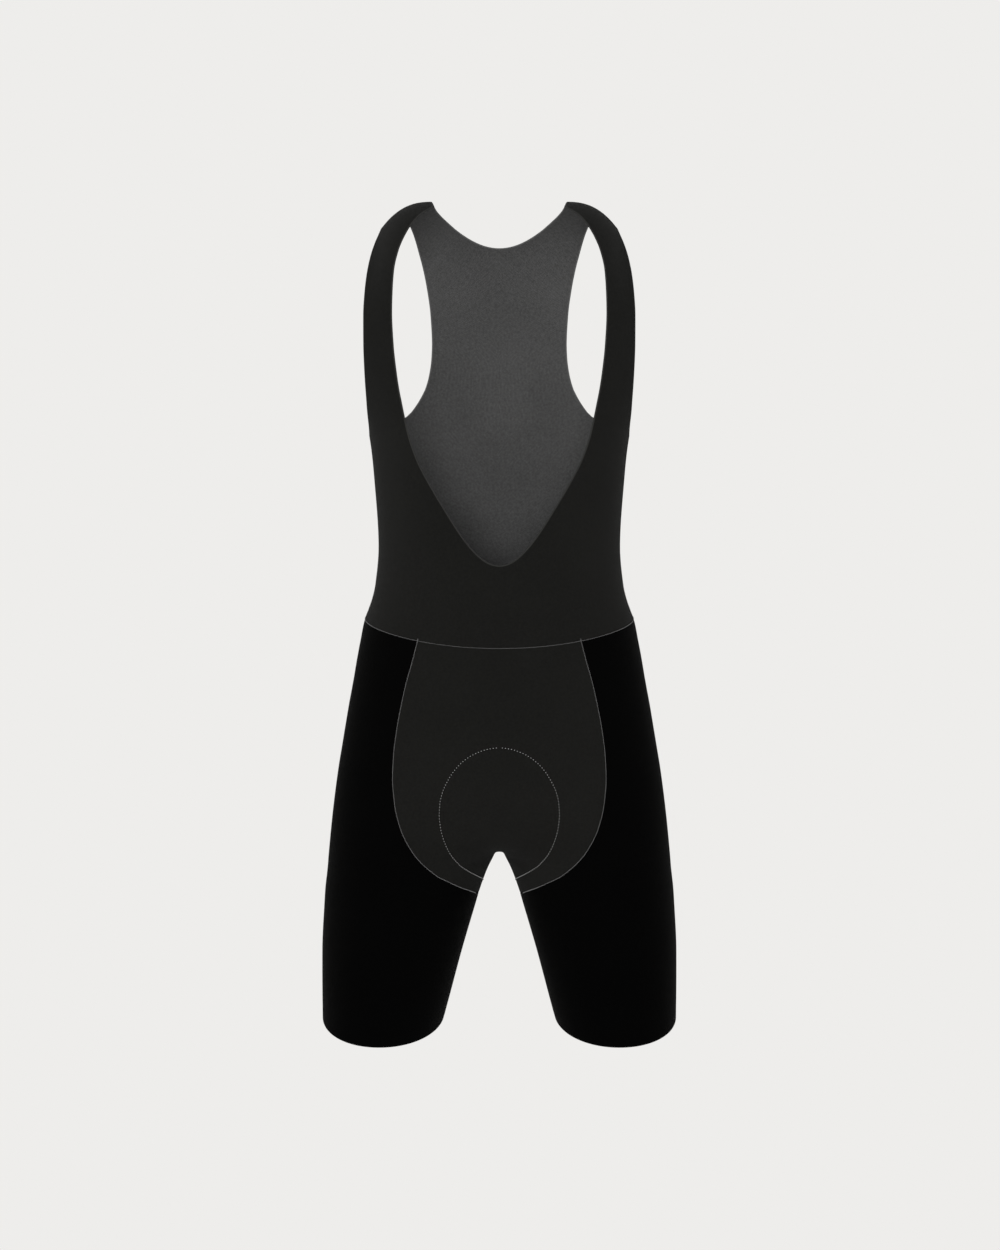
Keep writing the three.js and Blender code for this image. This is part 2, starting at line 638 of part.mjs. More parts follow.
// one leg panel, from the front seam round the outside to the centre back seam and the inseam
function legPanel(name, side) {
  const rows = [
    ...rowsOn(SHORTS_LEVELS, frontSeam, end),
    ...rowsOn([TIP_CORNER.drop], frontSeam, end),
    ...rowsOn([FRONT_SEAM_END, ...evenly(FRONT_SEAM_END, HEM_LEVEL, 4)], start, end),
    ...rowsOn([...between(hemDrop, HEM_LEVEL, 3).slice(0, 2).reverse(), hemDrop], start, end),
  ];
  const geometry = surface([grid(rows, COLUMNS.leg)], false);
  if (side < 0) {
    geometry.scale(-1, 1, 1);
    const index = geometry.index.array;
    for (let i = 0; i < index.length; i += 3) [index[i + 1], index[i + 2]] = [index[i + 2], index[i + 1]];
  }
  return piece(name, clothWall(geometry), black());
}

// the pad, inside the crotch against the front panel and the leg panels
function pad() {
  const within = (top) => SHORTS_LEVELS.filter((level) => level > top && level < PAD_BOTTOM);
  const levels = (top) => [top, ...within(top), PAD_BOTTOM];
  const front = grid(rowsOn(levels(PAD_FRONT_TOP), start, padFront), COLUMNS.pad);
  const back = grid(rowsOn(levels(PAD_BACK_TOP), padBack, end), COLUMNS.pad);
  const face = -CLOTH / 2 - PAD_CLEARANCE;
  const thickness = (fromRim) =>
    mix(PAD_EDGE, PAD_MIDDLE, THREE.MathUtils.smoothstep(fromRim, 0, PAD_SLOPE));
  const geometry = wall(surface([front, back], true), () => face, (fromRim) => face - thickness(fromRim));
  return piece('pad', geometry, padGrey());
}

const shorts = new THREE.Group();
shorts.name = 'cycling_bib_shorts';
shorts.add(
  bibFront(),
  backPanel(),
  frontPanel(),
  legPanel('leg_panel_left', 1),
  legPanel('leg_panel_right', -1),
  pad(),
);

export default shorts;
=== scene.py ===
# %% [markdown]
# Cycling bib shorts
# They are shown as worn, with no wearer in them: hollow, filled out, and open at the neck, the arms, the
# deep front scoop and the two legs. Six pieces are cut from knitted cloth or foam and sewn together.
# The solids of the frame give each piece its place, and this lesson dresses them one by one.

# %% Load the frame
from math import cos, pi, radians

import bpy
import numpy as np
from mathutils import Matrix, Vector
from mathutils.kdtree import KDTree


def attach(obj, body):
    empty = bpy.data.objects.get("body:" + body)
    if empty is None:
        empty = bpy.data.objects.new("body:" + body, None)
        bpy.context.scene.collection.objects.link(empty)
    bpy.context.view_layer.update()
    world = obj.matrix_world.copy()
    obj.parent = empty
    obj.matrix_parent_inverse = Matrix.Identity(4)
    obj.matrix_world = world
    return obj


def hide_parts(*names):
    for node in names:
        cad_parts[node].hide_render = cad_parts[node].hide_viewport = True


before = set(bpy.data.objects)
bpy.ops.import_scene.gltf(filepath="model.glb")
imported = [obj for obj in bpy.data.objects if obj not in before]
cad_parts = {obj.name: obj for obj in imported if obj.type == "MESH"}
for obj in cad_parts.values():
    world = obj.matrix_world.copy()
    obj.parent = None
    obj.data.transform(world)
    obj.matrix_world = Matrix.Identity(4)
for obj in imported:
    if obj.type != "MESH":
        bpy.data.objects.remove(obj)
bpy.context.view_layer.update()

MM = 0.001
BODY = "root"

# %% [markdown]
# Camera
# The garment is seen from straight in front and a little from above: the hems curve down in the middle and
# the inside of the back shows through the scoop. A camera 2.6 m away and 10 degrees up gives both, with the
# middle of the garment in the middle of the picture.

# %% Camera
CAMERA_RISE = radians(10)
CAMERA_DISTANCE = 2.6
LOOK_AT = Vector((0.0007, 0, -0.4409))
LENS = 70.75
SENSOR = 36

camera_data = bpy.data.cameras.new("camera")
camera_data.lens = LENS
camera_data.sensor_width = SENSOR
camera_data.sensor_fit = "AUTO"
camera = bpy.data.objects.new("camera", camera_data)
back_from_it = Vector((0, -np.cos(CAMERA_RISE), np.sin(CAMERA_RISE)))
camera.location = LOOK_AT + CAMERA_DISTANCE * back_from_it
camera.rotation_euler = (pi / 2 - CAMERA_RISE, 0, 0)
bpy.context.collection.objects.link(camera)
bpy.context.scene.camera = camera
print("camera at", [round(value, 4) for value in camera.location])

# %% [markdown]
# Studio
# The picture has one warm, almost white ground and no shadow, because the garment isn't standing on anything.
# The world gives that tone from every side, and the floor lies far below with the same tone, so that no
# horizon shows. A large soft light beside the camera reaches through the scoop to the inside of the back, and
# weaker ones from the left and from behind model the cloth without a hard edge.

# %% Studio
GROUND = (0.855, 0.847, 0.831)
FLOOR_HEIGHT = -2.3
FLOOR_SIZE = 30
LIGHTS = [
    {"name": "front", "place": (-0.15, -2.75, 0.2), "size": 1.0, "watts": 68},
    {"name": "key", "place": (-1.5, -2.2, 1.1), "size": 1.6, "watts": 10},
    {"name": "back_left", "place": (-1.6, 2.0, 0.5), "size": 1.4, "watts": 8},
    {"name": "back_right", "place": (1.6, 2.0, 0.2), "size": 1.4, "watts": 5},
]

bpy.context.scene.view_settings.view_transform = "Standard"
world = bpy.data.worlds.new("pale_room")
world.use_nodes = True
world.node_tree.nodes["Background"].inputs["Color"].default_value = (*GROUND, 1)
bpy.context.scene.world = world

for row in LIGHTS:
    light_data = bpy.data.lights.new(row["name"], "AREA")
    light_data.size = row["size"]
    light_data.energy = row["watts"]
    light = bpy.data.objects.new(row["name"], light_data)
    light.location = row["place"]
    light.rotation_euler = (LOOK_AT - light.location).to_track_quat("-Z", "Y").to_euler()
    bpy.context.collection.objects.link(light)

floor_mesh = bpy.data.meshes.new("floor")
floor_corners = [
    (x * FLOOR_SIZE / 2, y * FLOOR_SIZE / 2, FLOOR_HEIGHT) for x, y in ((-1, -1), (1, -1), (1, 1), (-1, 1))
]
floor_mesh.from_pydata(floor_corners, [], [(0, 1, 2, 3)])
floor = bpy.data.objects.new("floor", floor_mesh)
bpy.context.collection.objects.link(floor)
floor_paint = bpy.data.materials.new("floor_paint")
floor_paint.use_nodes = True
floor_shader = floor_paint.node_tree.nodes["Principled BSDF"]
floor_shader.inputs["Base Color"].default_value = (0, 0, 0, 1)
floor_shader.inputs["Specular IOR Level"].default_value = 0
floor_shader.inputs["Emission Color"].default_value = (*GROUND, 1)
floor_shader.inputs["Emission Strength"].default_value = 1
floor_mesh.materials.append(floor_paint)
print("lights:", len(LIGHTS), "floor at", FLOOR_HEIGHT, "m")

# %% [markdown]
# The figure
# A pattern cutter works from a body form. Here the form is a stack of level sections, one for each drop below
# the shoulders. Each section is one leg's oval joined with its mirror image, and the two part at the crotch.
# outer and inner are where the oval begins and ends, front and back are its depths, square is its power
# (2 is an ellipse) and blend rounds the fork.

# %% Sections of the figure
SECTION_COLUMNS = ("drop", "outer", "inner", "front", "back", "square", "blend")
SECTIONS = np.array([
    (0, 150, -150, 100, 100, 2.3, 0),
    (100, 165, -165, 108, 104, 2.3, 0),
    (160, 162, -162, 112, 108, 2.3, 0),
    (200, 149, -149, 111, 106, 2.3, 0),
    (241, 134.7, -134.7, 108, 100, 2.3, 0),
    (286, 130, -130, 103, 94, 2.3, 0),
    (355, 126.2, -126.2, 97, 89, 2.25, 0),
    (398, 130.1, -130.1, 96, 92, 2.25, 0),
    (412, 133.3, -133.3, 96, 94.5, 2.25, 0),
    (425, 137.8, -137.8, 96.5, 97.5, 2.2, 0),
    (436, 142, -142, 97, 100, 2.2, 0),
    (457, 146.4, -145.8, 97, 104, 2.2, 0),
    (478, 150.5, -148, 97, 108, 2.2, 0),
    (504, 154.8, -146.8, 97, 110.5, 2.2, 12),
    (530, 158.1, -143.5, 97, 112, 2.2, 30),
    (583, 169.3, -112, 96, 111, 2.15, 55),
    (636, 177, -54, 95, 105, 2.1, 55),
    (662, 180, -22, 94, 101, 2.1, 40),
    (684.4, 182.3, 3.6, 92, 97, 2.05, 14),
    (690.5, 182.9, 6.5, 91.7, 96.3, 2.05, 14),
    (702, 183.9, 12.1, 91, 95, 2.05, 16),
    (729, 187, 21.8, 88, 91, 2.05, 20),
    (743, 188, 25.8, 86, 89, 2.05, 20),
    (797, 191, 41.2, 80, 83, 2.05, 20),
    (852, 191.5, 55.5, 76, 78, 2.05, 20),
    (890, 191.5, 65.5, 73, 75, 2.05, 20),
])


def mix(a, b, t):
    return a + (b - a) * t


def smooth(t):
    t = np.clip(t, 0, 1)
    return t * t * (3 - 2 * t)


def curve_through(xs, ys):
    """A smooth curve through a table's rows, with no overshoot."""
    xs = np.asarray(xs, float)
    ys = np.asarray(ys, float)
    widths = np.diff(xs)
    steps = np.diff(ys) / widths
    slopes = np.zeros(len(xs))
    slopes[0], slopes[-1] = steps[0], steps[-1]
    for i in range(1, len(xs) - 1):
        if steps[i - 1] * steps[i] > 0:
            before = 2 * widths[i] + widths[i - 1]
            after = widths[i] + 2 * widths[i - 1]
            slopes[i] = (before + after) / (before / steps[i - 1] + after / steps[i])

    def curve(x):
        x = np.clip(x, xs[0], xs[-1])
        i = np.clip(np.searchsorted(xs, x, side="right") - 1, 0, len(xs) - 2)
        t = (x - xs[i]) / widths[i]
        return (
            (1 + 2 * t) * (1 - t) ** 2 * ys[i]
            + t * (1 - t) ** 2 * widths[i] * slopes[i]
            + t * t * (3 - 2 * t) * ys[i + 1]
            + t * t * (t - 1) * widths[i] * slopes[i + 1]
        )

    return curve


LEAST_BLEND = 1e-6
ring_curves = {
    name: curve_through(SECTIONS[:, 0], SECTIONS[:, column])
    for column, name in enumerate(SECTION_COLUMNS)
    if name != "drop"
}


def rings_at(drops):
    """The sizes of the sections at these drops, as columns of numbers."""
    return {name: curve(np.asarray(drops, float))[:, None] for name, curve in ring_curves.items()}


def distance_out(ring, x, y):
    """Below zero inside the figure: two leg ovals, joined with a rounded fork."""
    centre = (ring["outer"] + ring["inner"]) / 2
    half_width = (ring["outer"] - ring["inner"]) / 2
    depth = np.where(y < 0, ring["front"], ring["back"])
    deep = np.abs(y / depth) ** ring["square"]

    def out_of(middle):
        wide = np.abs((x - middle) / half_width) ** ring["square"]
        return ((wide + deep) ** (1 / ring["square"]) - 1) * half_width

    left = out_of(centre)
    right = out_of(-centre)
    blend = np.maximum(ring["blend"], LEAST_BLEND)
    overlap = np.maximum(blend - np.abs(left - right), 0) / blend
    return np.minimum(left, right) - overlap * overlap * blend / 4


def crossing(f, low, high, steps=30):
    """Where a function that grows from below zero crosses it."""
    low = np.array(low, float)
    high = np.array(high, float)
    for _ in range(steps):
        middle = (low + high) / 2
        inside = f(middle) < 0
        low = np.where(inside, middle, low)
        high = np.where(inside, high, middle)
    return (low + high) / 2


ABOVE_FORK, BELOW_FORK = 640, 720


def middle_out(drop):
    """Below zero where the body's middle line still lies inside the figure."""
    return distance_out(rings_at(drop), 0.0, 0.0)[:, 0]


CROTCH_DROP = float(crossing(middle_out, [ABOVE_FORK], [BELOW_FORK], steps=48)[0])
print("the legs part at a drop of", round(CROTCH_DROP, 2), "mm")

# %% [markdown]
# Walking round a section
# A place on the cloth is a drop and a share of the half section. Share 0 is the centre front, or the inseam
# below the crotch, and share 1 is the centre back, or the inseam again. Each half section is found once, by
# rays from the oval's middle, and kept as a row of evenly spaced points, so later steps only look it up.

# %% Half sections at every level
RAYS = 300
SHARES = 600
REACH = 260
TINY = 1e-9
TURN_SPREAD = 12
ARMHOLE_DROP = 241
SCOOP_DROP = 362.5
NECK_DROP = 48.8
HEM_DROP = 872
LOWEST_LEVEL = 890


def around(drop, count=20):
    """Levels close to one where an edge turns round, so that it stays round."""
    steps = TURN_SPREAD * np.linspace(0, 1, count) ** 2
    return np.concatenate([drop - steps, drop + steps])


LEVELS = np.unique(np.concatenate([
    np.arange(0, LOWEST_LEVEL + 1),
    *[around(drop) for drop in (NECK_DROP, ARMHOLE_DROP, SCOOP_DROP, CROTCH_DROP)],
]))


def half_sections():
    ring = rings_at(LEVELS)
    zero = np.zeros((len(LEVELS), 1))
    centre = (ring["outer"] + ring["inner"]) / 2
    on_body = LEVELS[:, None] < CROTCH_DROP
    front = np.where(on_body, crossing(lambda y: distance_out(ring, zero, -y), zero, zero + REACH), 0)
    back = np.where(on_body, crossing(lambda y: distance_out(ring, zero, y), zero, zero + REACH), 0)
    start = np.where(on_body, np.arctan2(-centre, front), -pi / 2)
    end = np.where(on_body, np.arctan2(-centre, -back), 1.5 * pi)
    end = np.where(end <= 0, end + 2 * pi, end)
    angle = mix(start, end, np.linspace(0, 1, RAYS + 1)[None, :])
    across, deep = np.sin(angle), -np.cos(angle)
    to_middle = np.where(across < 0, -centre / np.minimum(across, -TINY), REACH)
    furthest = np.minimum(REACH, to_middle)
    reach = crossing(lambda r: distance_out(ring, centre + r * across, r * deep), 0 * angle, furthest)
    x = centre + reach * across
    y = reach * deep
    body = on_body[:, 0]
    x[body, 0] = x[body, -1] = 0
    y[body, 0], y[body, -1] = -front[body, 0], back[body, 0]
    x[~body, -1], y[~body, -1] = x[~body, 0], y[~body, 0]
    return x, y


ray_x, ray_y = half_sections()
ray_along = np.concatenate([
    np.zeros((len(LEVELS), 1)), np.cumsum(np.hypot(np.diff(ray_x), np.diff(ray_y)), axis=1)
], axis=1)
GIRTH = ray_along[:, -1]
SHARE_STEPS = np.linspace(0, 1, SHARES + 1)
LEVEL_X, LEVEL_Y = (
    np.array([np.interp(SHARE_STEPS * GIRTH[i], ray_along[i], rows[i]) for i in range(len(LEVELS))])
    for rows in (ray_x, ray_y)
)


def girth_at(drop):
    """The length of a half section, which is once round the leg below the crotch."""
    return np.interp(drop, LEVELS, GIRTH)


print("levels:", len(LEVELS), "hem girth:", round(float(girth_at(HEM_DROP))), "mm")

# %% [markdown]
# From a drop and a share to a place
# On the body and the legs a place lies level at its drop. At the shoulders the front and the back turn over
# towards one fold, as cloth does over a shoulder, and the fold slopes down towards the arm.

# %% Places and their normals
FOLD_DEPTH = 5
FRONT_ROUND = 110
BACK_ROUND = 75
SLOPE_START, SLOPE_EASE, SLOPE_END, SLOPE_WIDTH = 68, 119, 135, 51
SLOPE_FALL, SLOPE_POWER, SLOPE_FADE = 24.2, 2.6, 160


def level_point(drop, share):
    drop, share = np.broadcast_arrays(np.asarray(drop, float), np.asarray(share, float))
    row = np.clip(np.searchsorted(LEVELS, drop, side="right") - 1, 0, len(LEVELS) - 2)
    down = (drop - LEVELS[row]) / (LEVELS[row + 1] - LEVELS[row])
    column = np.clip(share, 0, 1) * SHARES
    left = np.minimum(column.astype(int), SHARES - 1)
    along = column - left

    def read(table):
        upper = mix(table[row, left], table[row, left + 1], along)
        lower = mix(table[row + 1, left], table[row + 1, left + 1], along)
        return mix(upper, lower, down)

    return read(LEVEL_X), read(LEVEL_Y)


def eased(across):
    """The distance from the middle, easing to a stop in the strap's outer part."""
    over = np.clip(across - SLOPE_EASE, 0, SLOPE_END - SLOPE_EASE)
    return np.minimum(across, SLOPE_END) - over * over / (2 * (SLOPE_END - SLOPE_EASE))


def place(drop, share):
    x, y = level_point(drop, share)
    turn = np.where(y < 0, FRONT_ROUND, BACK_ROUND)
    left = np.clip(1 - drop / turn, 0, 1)
    out = np.sqrt(1 - left * left)
    past = np.maximum(eased(np.abs(x)) - SLOPE_START, 0)
    fall = SLOPE_FALL * (past / SLOPE_WIDTH) ** SLOPE_POWER
    fade = 1 - smooth(drop / SLOPE_FADE)
    return np.stack([x, FOLD_DEPTH + (y - FOLD_DEPTH) * out, -drop - fall * fade], axis=-1)


def unit(vectors):
    return vectors / np.maximum(np.linalg.norm(vectors, axis=-1, keepdims=True), TINY)


def normal_at(drop, share, drop_step=2.0, share_step=0.004):
    down = place(drop + drop_step, share) - place(np.maximum(drop - drop_step, 0), share)
    across = place(drop, np.minimum(share + share_step, 1)) - place(drop, np.maximum(share - share_step, 0))
    return unit(np.cross(down, across))


print("side of the chest at", place(ARMHOLE_DROP, 0.5).round(1), "mm")

# %% [markdown]
# Edges and seams
# Each line of the pattern is a short table: a drop, and how far the line lies from the middle there, across
# (seen from the front) or deep (seen from the side). Squares of the distances are interpolated, which keeps a
# line round where it turns at the middle, as the neckline does.

# %% Pattern lines
STRAP_INNER = [
    (0, 69.5), (1.5, 67.8), (4.3, 67), (6, 69.3), (8, 73.5), (13, 81.5), (21.5, 90.1), (30, 96.1),
    (40, 101), (58, 105.3), (77, 106.5), (105, 107.1), (139, 105.7), (169, 102.6), (184, 100.5),
    (199, 97.7), (215, 94.6), (230, 91.4), (245, 86.8), (260, 80.8), (275, 73), (290, 64.4),
    (305, 55.3), (320.5, 45.8), (336, 35.4), (351, 22.6), (SCOOP_DROP, 0),
]
STRAP_OUTER = [
    (0, 121.5), (2.6, 123.1), (8.7, 126.9), (21.7, 131.2), (43, 134.4), (67, 136), (101, 137.1),
    (139, 137.2), (171, 136.4), (202, 135.2),
]
ARMHOLE_FRONT = [(186, 61.8), (202, 54.1), (218.6, 42.6), (232.5, 27.6), (239.4, 12), (ARMHOLE_DROP, 0)]
ARMHOLE_BACK = [(199, 94.3), (214.6, 87.5), (229.6, 74.4), (235.5, 55), (239.3, 32), (ARMHOLE_DROP, 0)]
BACK_OUTER = [
    (0, 121.5), (3, 116), (7, 110), (12, 103), (19.5, 95.2), (27, 92.4), (38.7, 89.2), (52.3, 86),
    (72.3, 81.3), (91.7, 77.7), (118.6, 74.2), (150.9, 72.7), (167, 73.4), (183, 75.6), (199, 80),
    (214.6, 88.3),
]
BACK_NECK = [
    (0, 69.5), (1.5, 68.6), (4, 67.9), (8.8, 65.7), (15.2, 60.7), (21.5, 54.3), (28, 47.3), (34.3, 39.1),
    (40.8, 28.7), (NECK_DROP, 0),
]
FRONT_SEAM = [
    (442, 83.3), (462.5, 88.6), (488, 95.7), (513, 101.3), (538, 105.9), (563.5, 109.1), (589, 110.3),
    (614, 108.4), (638, 102.8), (663, 90.4), (676, 80.4), (690.7, 65.4),
]
FRONT_SEAM_UNDER = [
    (676, 92.4), (690.7, 86.9), (700, 78.6), (709.5, 65.4), (717.3, 50), (725, 32), (734, 0),
]
PAD_FRONT = [
    (550.3, 0), (559, 30), (572, 44.9), (585, 53.4), (598, 59.2), (611, 62.2), (624, 63),
    (637, 61.8), (650, 58.8), (664, 53.3), (680, 43.5),
]
PAD_FRONT_UNDER = [(664, 91), (680, 79.6), (690.7, 67.8), (701, 49.8), (707, 36.2), (712.4, 22), (718, 0)]
PAD_BACK = [
    (565, 0), (576, 32), (590, 48), (606, 60), (620, 65.4), (634, 67), (648, 64.8), (661, 59), (676, 48),
]
PAD_BACK_UNDER = [(660, 100), (676, 89), (690, 72.5), (701, 53.5), (712.4, 28), (718, 0)]
JOIN = {"strap_outer": 202, "back_outer": 214.6, "front_seam": 690.7, "pad_front": 680, "pad_back": 676}

SIDE = LEVEL_X.argmax(axis=1)
FOREMOST = LEVEL_Y.argmin(axis=1)
HINDMOST = LEVEL_Y.argmax(axis=1)
FIRST = np.zeros(len(LEVELS), int)
LAST = np.full(len(LEVELS), SHARES)


def shares_where(table, wanted, first, last):
    """The share at each level where the table's row passes the wanted value, between two of its columns."""
    shares = np.empty(len(LEVELS))
    for i, (a, b) in enumerate(zip(first, last)):
        values = table[i, a:b + 1]
        way = 1 if values[-1] > values[0] else -1
        rising = np.maximum.accumulate(way * values)
        shares[i] = np.interp(way * wanted[i], rising, SHARE_STEPS[a:b + 1])
    return shares


def distance_at_levels(rows):
    drops, distances = zip(*rows)
    return np.sqrt(np.maximum(curve_through(drops, np.square(distances))(LEVELS), 0))


def front_line(rows):
    return shares_where(LEVEL_X, distance_at_levels(rows), FIRST, SIDE)


def back_line(rows):
    return shares_where(LEVEL_X, distance_at_levels(rows), SIDE, LAST)


def deep_line(rows, sign, first, last):
    return shares_where(LEVEL_Y, sign * distance_at_levels(rows), first, last)


def line(upper, join=None, lower=None):
    """A pattern line as a function: the share at a drop, from one row of shares or from two joined ones."""
    shares = upper if join is None else np.where(LEVELS < join, upper, lower)
    return lambda drop: np.interp(drop, LEVELS, shares)


strap_inner = line(front_line(STRAP_INNER))
strap_outer = line(
    front_line(STRAP_OUTER), JOIN["strap_outer"], deep_line(ARMHOLE_FRONT, -1, FOREMOST, SIDE)
)
back_outer = line(back_line(BACK_OUTER), JOIN["back_outer"], deep_line(ARMHOLE_BACK, 1, SIDE, HINDMOST))
back_neck = line(back_line(BACK_NECK))
front_seam = line(
    front_line(FRONT_SEAM), JOIN["front_seam"], deep_line(FRONT_SEAM_UNDER, -1, FIRST, FOREMOST)
)
pad_front = line(front_line(PAD_FRONT), JOIN["pad_front"], deep_line(PAD_FRONT_UNDER, -1, FIRST, FOREMOST))
pad_back = line(back_line(PAD_BACK), JOIN["pad_back"], deep_line(PAD_BACK_UNDER, 1, HINDMOST, LAST))
side_seam = line(SHARE_STEPS[SIDE])


def centre_front(drop):
    return np.zeros_like(np.asarray(drop, float))


def centre_back(drop):
    return np.ones_like(np.asarray(drop, float))


print("side seam, under the arm, at share", round(float(side_seam(ARMHOLE_DROP)), 3))

# %% [markdown]
# Slanted levels
# The waist seam dips at the front and rises at the back, and the hems tilt a little. Such a level depends on
# where it is on the figure, so its drop is found by coming closer step by step.

# %% Waist, hem and tip
WAIST_DROP, WAIST_HALF_WIDTH = 433.5, 141
WAIST_FRONT_DIP, WAIST_BACK_RISE = 14.5, 13
HEM_TILT = 0.15
SEAM_END = 734
TIP_DROP, TIP_DEPTH = 725, 32
TIP_LEVEL = 716.5
SETTLE_STEPS = 40


def waist_drop(x, y):
    inwards = 1 - np.minimum((x / WAIST_HALF_WIDTH) ** 2, 1)
    return WAIST_DROP + inwards * np.where(y < 0, WAIST_FRONT_DIP, -WAIST_BACK_RISE)


def hem_drop(x, y):
    return HEM_DROP - HEM_TILT * y


def tip_drop(x, y):
    return SEAM_END + (SEAM_END - TIP_DROP) / TIP_DEPTH * y


def settle(level, share_at, count):
    """The drops of a row's points, where level is a number or a function of the place."""
    if not callable(level):
        return np.full(count, float(level))
    drop = np.full(count, level(WAIST_HALF_WIDTH, 0.0))
    for _ in range(SETTLE_STEPS):
        drop = level(*level_point(drop, share_at(drop)))
    return drop


def part_way(level, flat, t):
    return lambda x, y: mix(level(x, y), flat, t)


def to_flat(level, flat, count):
    """Levels after a slanted one that pass over to a flat one."""
    return [part_way(level, flat, t) for t in np.linspace(0, 1, count + 1)[1:]]


def to_slanted(flat, level, count):
    """Levels after a flat one that pass over to a slanted one."""
    return [*to_flat(level, flat, count)[-2::-1], level]


print("waist seam at the centre front:", WAIST_DROP + WAIST_FRONT_DIP, "mm down")

# %% [markdown]
# Creases
# The cloth is stretched smooth, so it has no real folds, only faint troughs where it pulls: at the groin and
# under the seat, at the waist, below the armholes and above the hems. Each row places one on the front (-1)
# or the back (1): its middle, its angle, how long and wide it is, and how deep. No two are alike.

# %% Creases
CREASE_COLUMNS = ("side", "across", "drop", "angle", "length", "width", "depth")
CREASES = [
    (-1, 62, 662, 52, 74, 7, 0.75), (-1, -60, 665, -50, 82, 8, 0.8),
    (-1, 50, 700, 44, 52, 6, 0.55), (-1, -51, 697, -47, 46, 6, 0.6),
    (-1, 92, 708, 24, 60, 8, 0.45), (-1, -95, 713, -20, 54, 7, 0.5),
    (-1, 118, 462, 16, 46, 7, 0.4), (-1, -121, 458, -13, 52, 8, 0.45),
    (-1, 88, 268, -48, 40, 6, 0.3), (-1, -90, 271, 45, 44, 6, 0.35),
    (-1, 112, 838, 7, 58, 9, 0.35), (-1, -118, 829, -9, 50, 8, 0.4),
    (1, 84, 692, -9, 96, 10, 0.9), (1, -88, 696, 11, 90, 9, 0.85),
    (1, 52, 668, -38, 60, 8, 0.6), (1, -49, 671, 35, 66, 8, 0.65),
    (1, 26, 413, 4, 74, 8, 0.5), (1, -34, 425, -3, 62, 8, 0.55),
    (1, 96, 300, 38, 50, 8, 0.35), (1, -92, 306, -42, 46, 7, 0.35),
    (1, 128, 792, 12, 52, 9, 0.35), (1, -124, 801, -10, 58, 9, 0.4),
]
CREASE_FADE = 30


def crease_depth(points):
    """How far in the cloth lies at these points."""
    x, y, drop = points[..., 0], points[..., 1], -points[..., 2]
    depth = np.zeros(x.shape)
    for values in CREASES:
        row = dict(zip(CREASE_COLUMNS, values))
        turn = radians(row["angle"])
        right = x - row["across"]
        down = drop - row["drop"]
        along = (right * cos(turn) + down * np.sin(turn)) / row["length"]
        over = (down * cos(turn) - right * np.sin(turn)) / row["width"]
        here = smooth(row["side"] * y / CREASE_FADE)
        depth += row["depth"] * here * np.exp(-over * over) * smooth(1 - np.abs(2 * along))
    return depth


print("creases:", len(CREASES), "deepest", max(row[-1] for row in CREASES), "mm")

# %% [markdown]
# Cutting a piece
# A grid of points follows the rows of a piece, spread evenly between its two edges. Each point also keeps its
# place on the flat cloth, in millimetres across and down, so that the knit runs at its real size and turns
# over the shoulder without stretching.

# %% Grids
CELL = 4.0


def arc_down(drop, turn):
    """The length of cloth from the fold down to a drop."""
    angle = np.arccos(np.clip(1 - drop / turn, 0, 1))
    return np.where(drop < turn, turn * angle, drop + turn * (pi / 2 - 1))


def spread_between(left, right, across):
    return lambda drop: mix(left(drop), right(drop), across)


def grid(rows, columns):
    """Points and flat places, a row for each (level, left line, right line)."""
    across = np.linspace(0, 1, columns + 1)
    points, flats = [], []
    for level, left, right in rows:
        share_at = spread_between(left, right, across)
        drop = settle(level, share_at, columns + 1)
        share = share_at(drop)
        x, y = level_point(drop, share)
        run = np.where(y < 0, arc_down(drop, FRONT_ROUND), -arc_down(drop, BACK_ROUND))
        points.append(place(drop, share))
        flats.append(np.stack([share * girth_at(drop), run], axis=-1))
    return np.array(points), np.array(flats)


def down_to(first, last, step=CELL):
    """Evenly spaced levels after the first one, ending on the last."""
    count = max(int(round(abs(last - first) / step)), 1)
    return list(np.linspace(first, last, count + 1)[1:])


def closing(first, last, count=12):
    """Levels after the first one that lie closer and closer together towards the last."""
    return list(last + (first - last) * np.linspace(1, 0, count + 1)[1:] ** 2)


def opening(first, last, count=12):
    """Levels after the first one that start close together."""
    return list(first + (last - first) * np.linspace(0, 1, count + 1)[1:] ** 2)


def turned(degrees, turn):
    """The drops at these angles round the shoulder."""
    return [turn * (1 - cos(radians(angle))) for angle in degrees]


def rows_on(levels, left, right):
    return [(level, left, right) for level in levels]


print("cells of about", CELL, "mm")

# %% [markdown]
# From a grid to one surface
# The grids of a piece are joined, and mirrored where it has two like halves. Its rim is every edge that only
# one face uses. Each vertex also needs its distance from the rim and the way into the cloth, because the edge
# is drawn in and rounded next.

# %% One surface
RIM_SAMPLE = 1.0
ON_MIDDLE = 1e-3
SAME_POINT_DECIMALS = 3


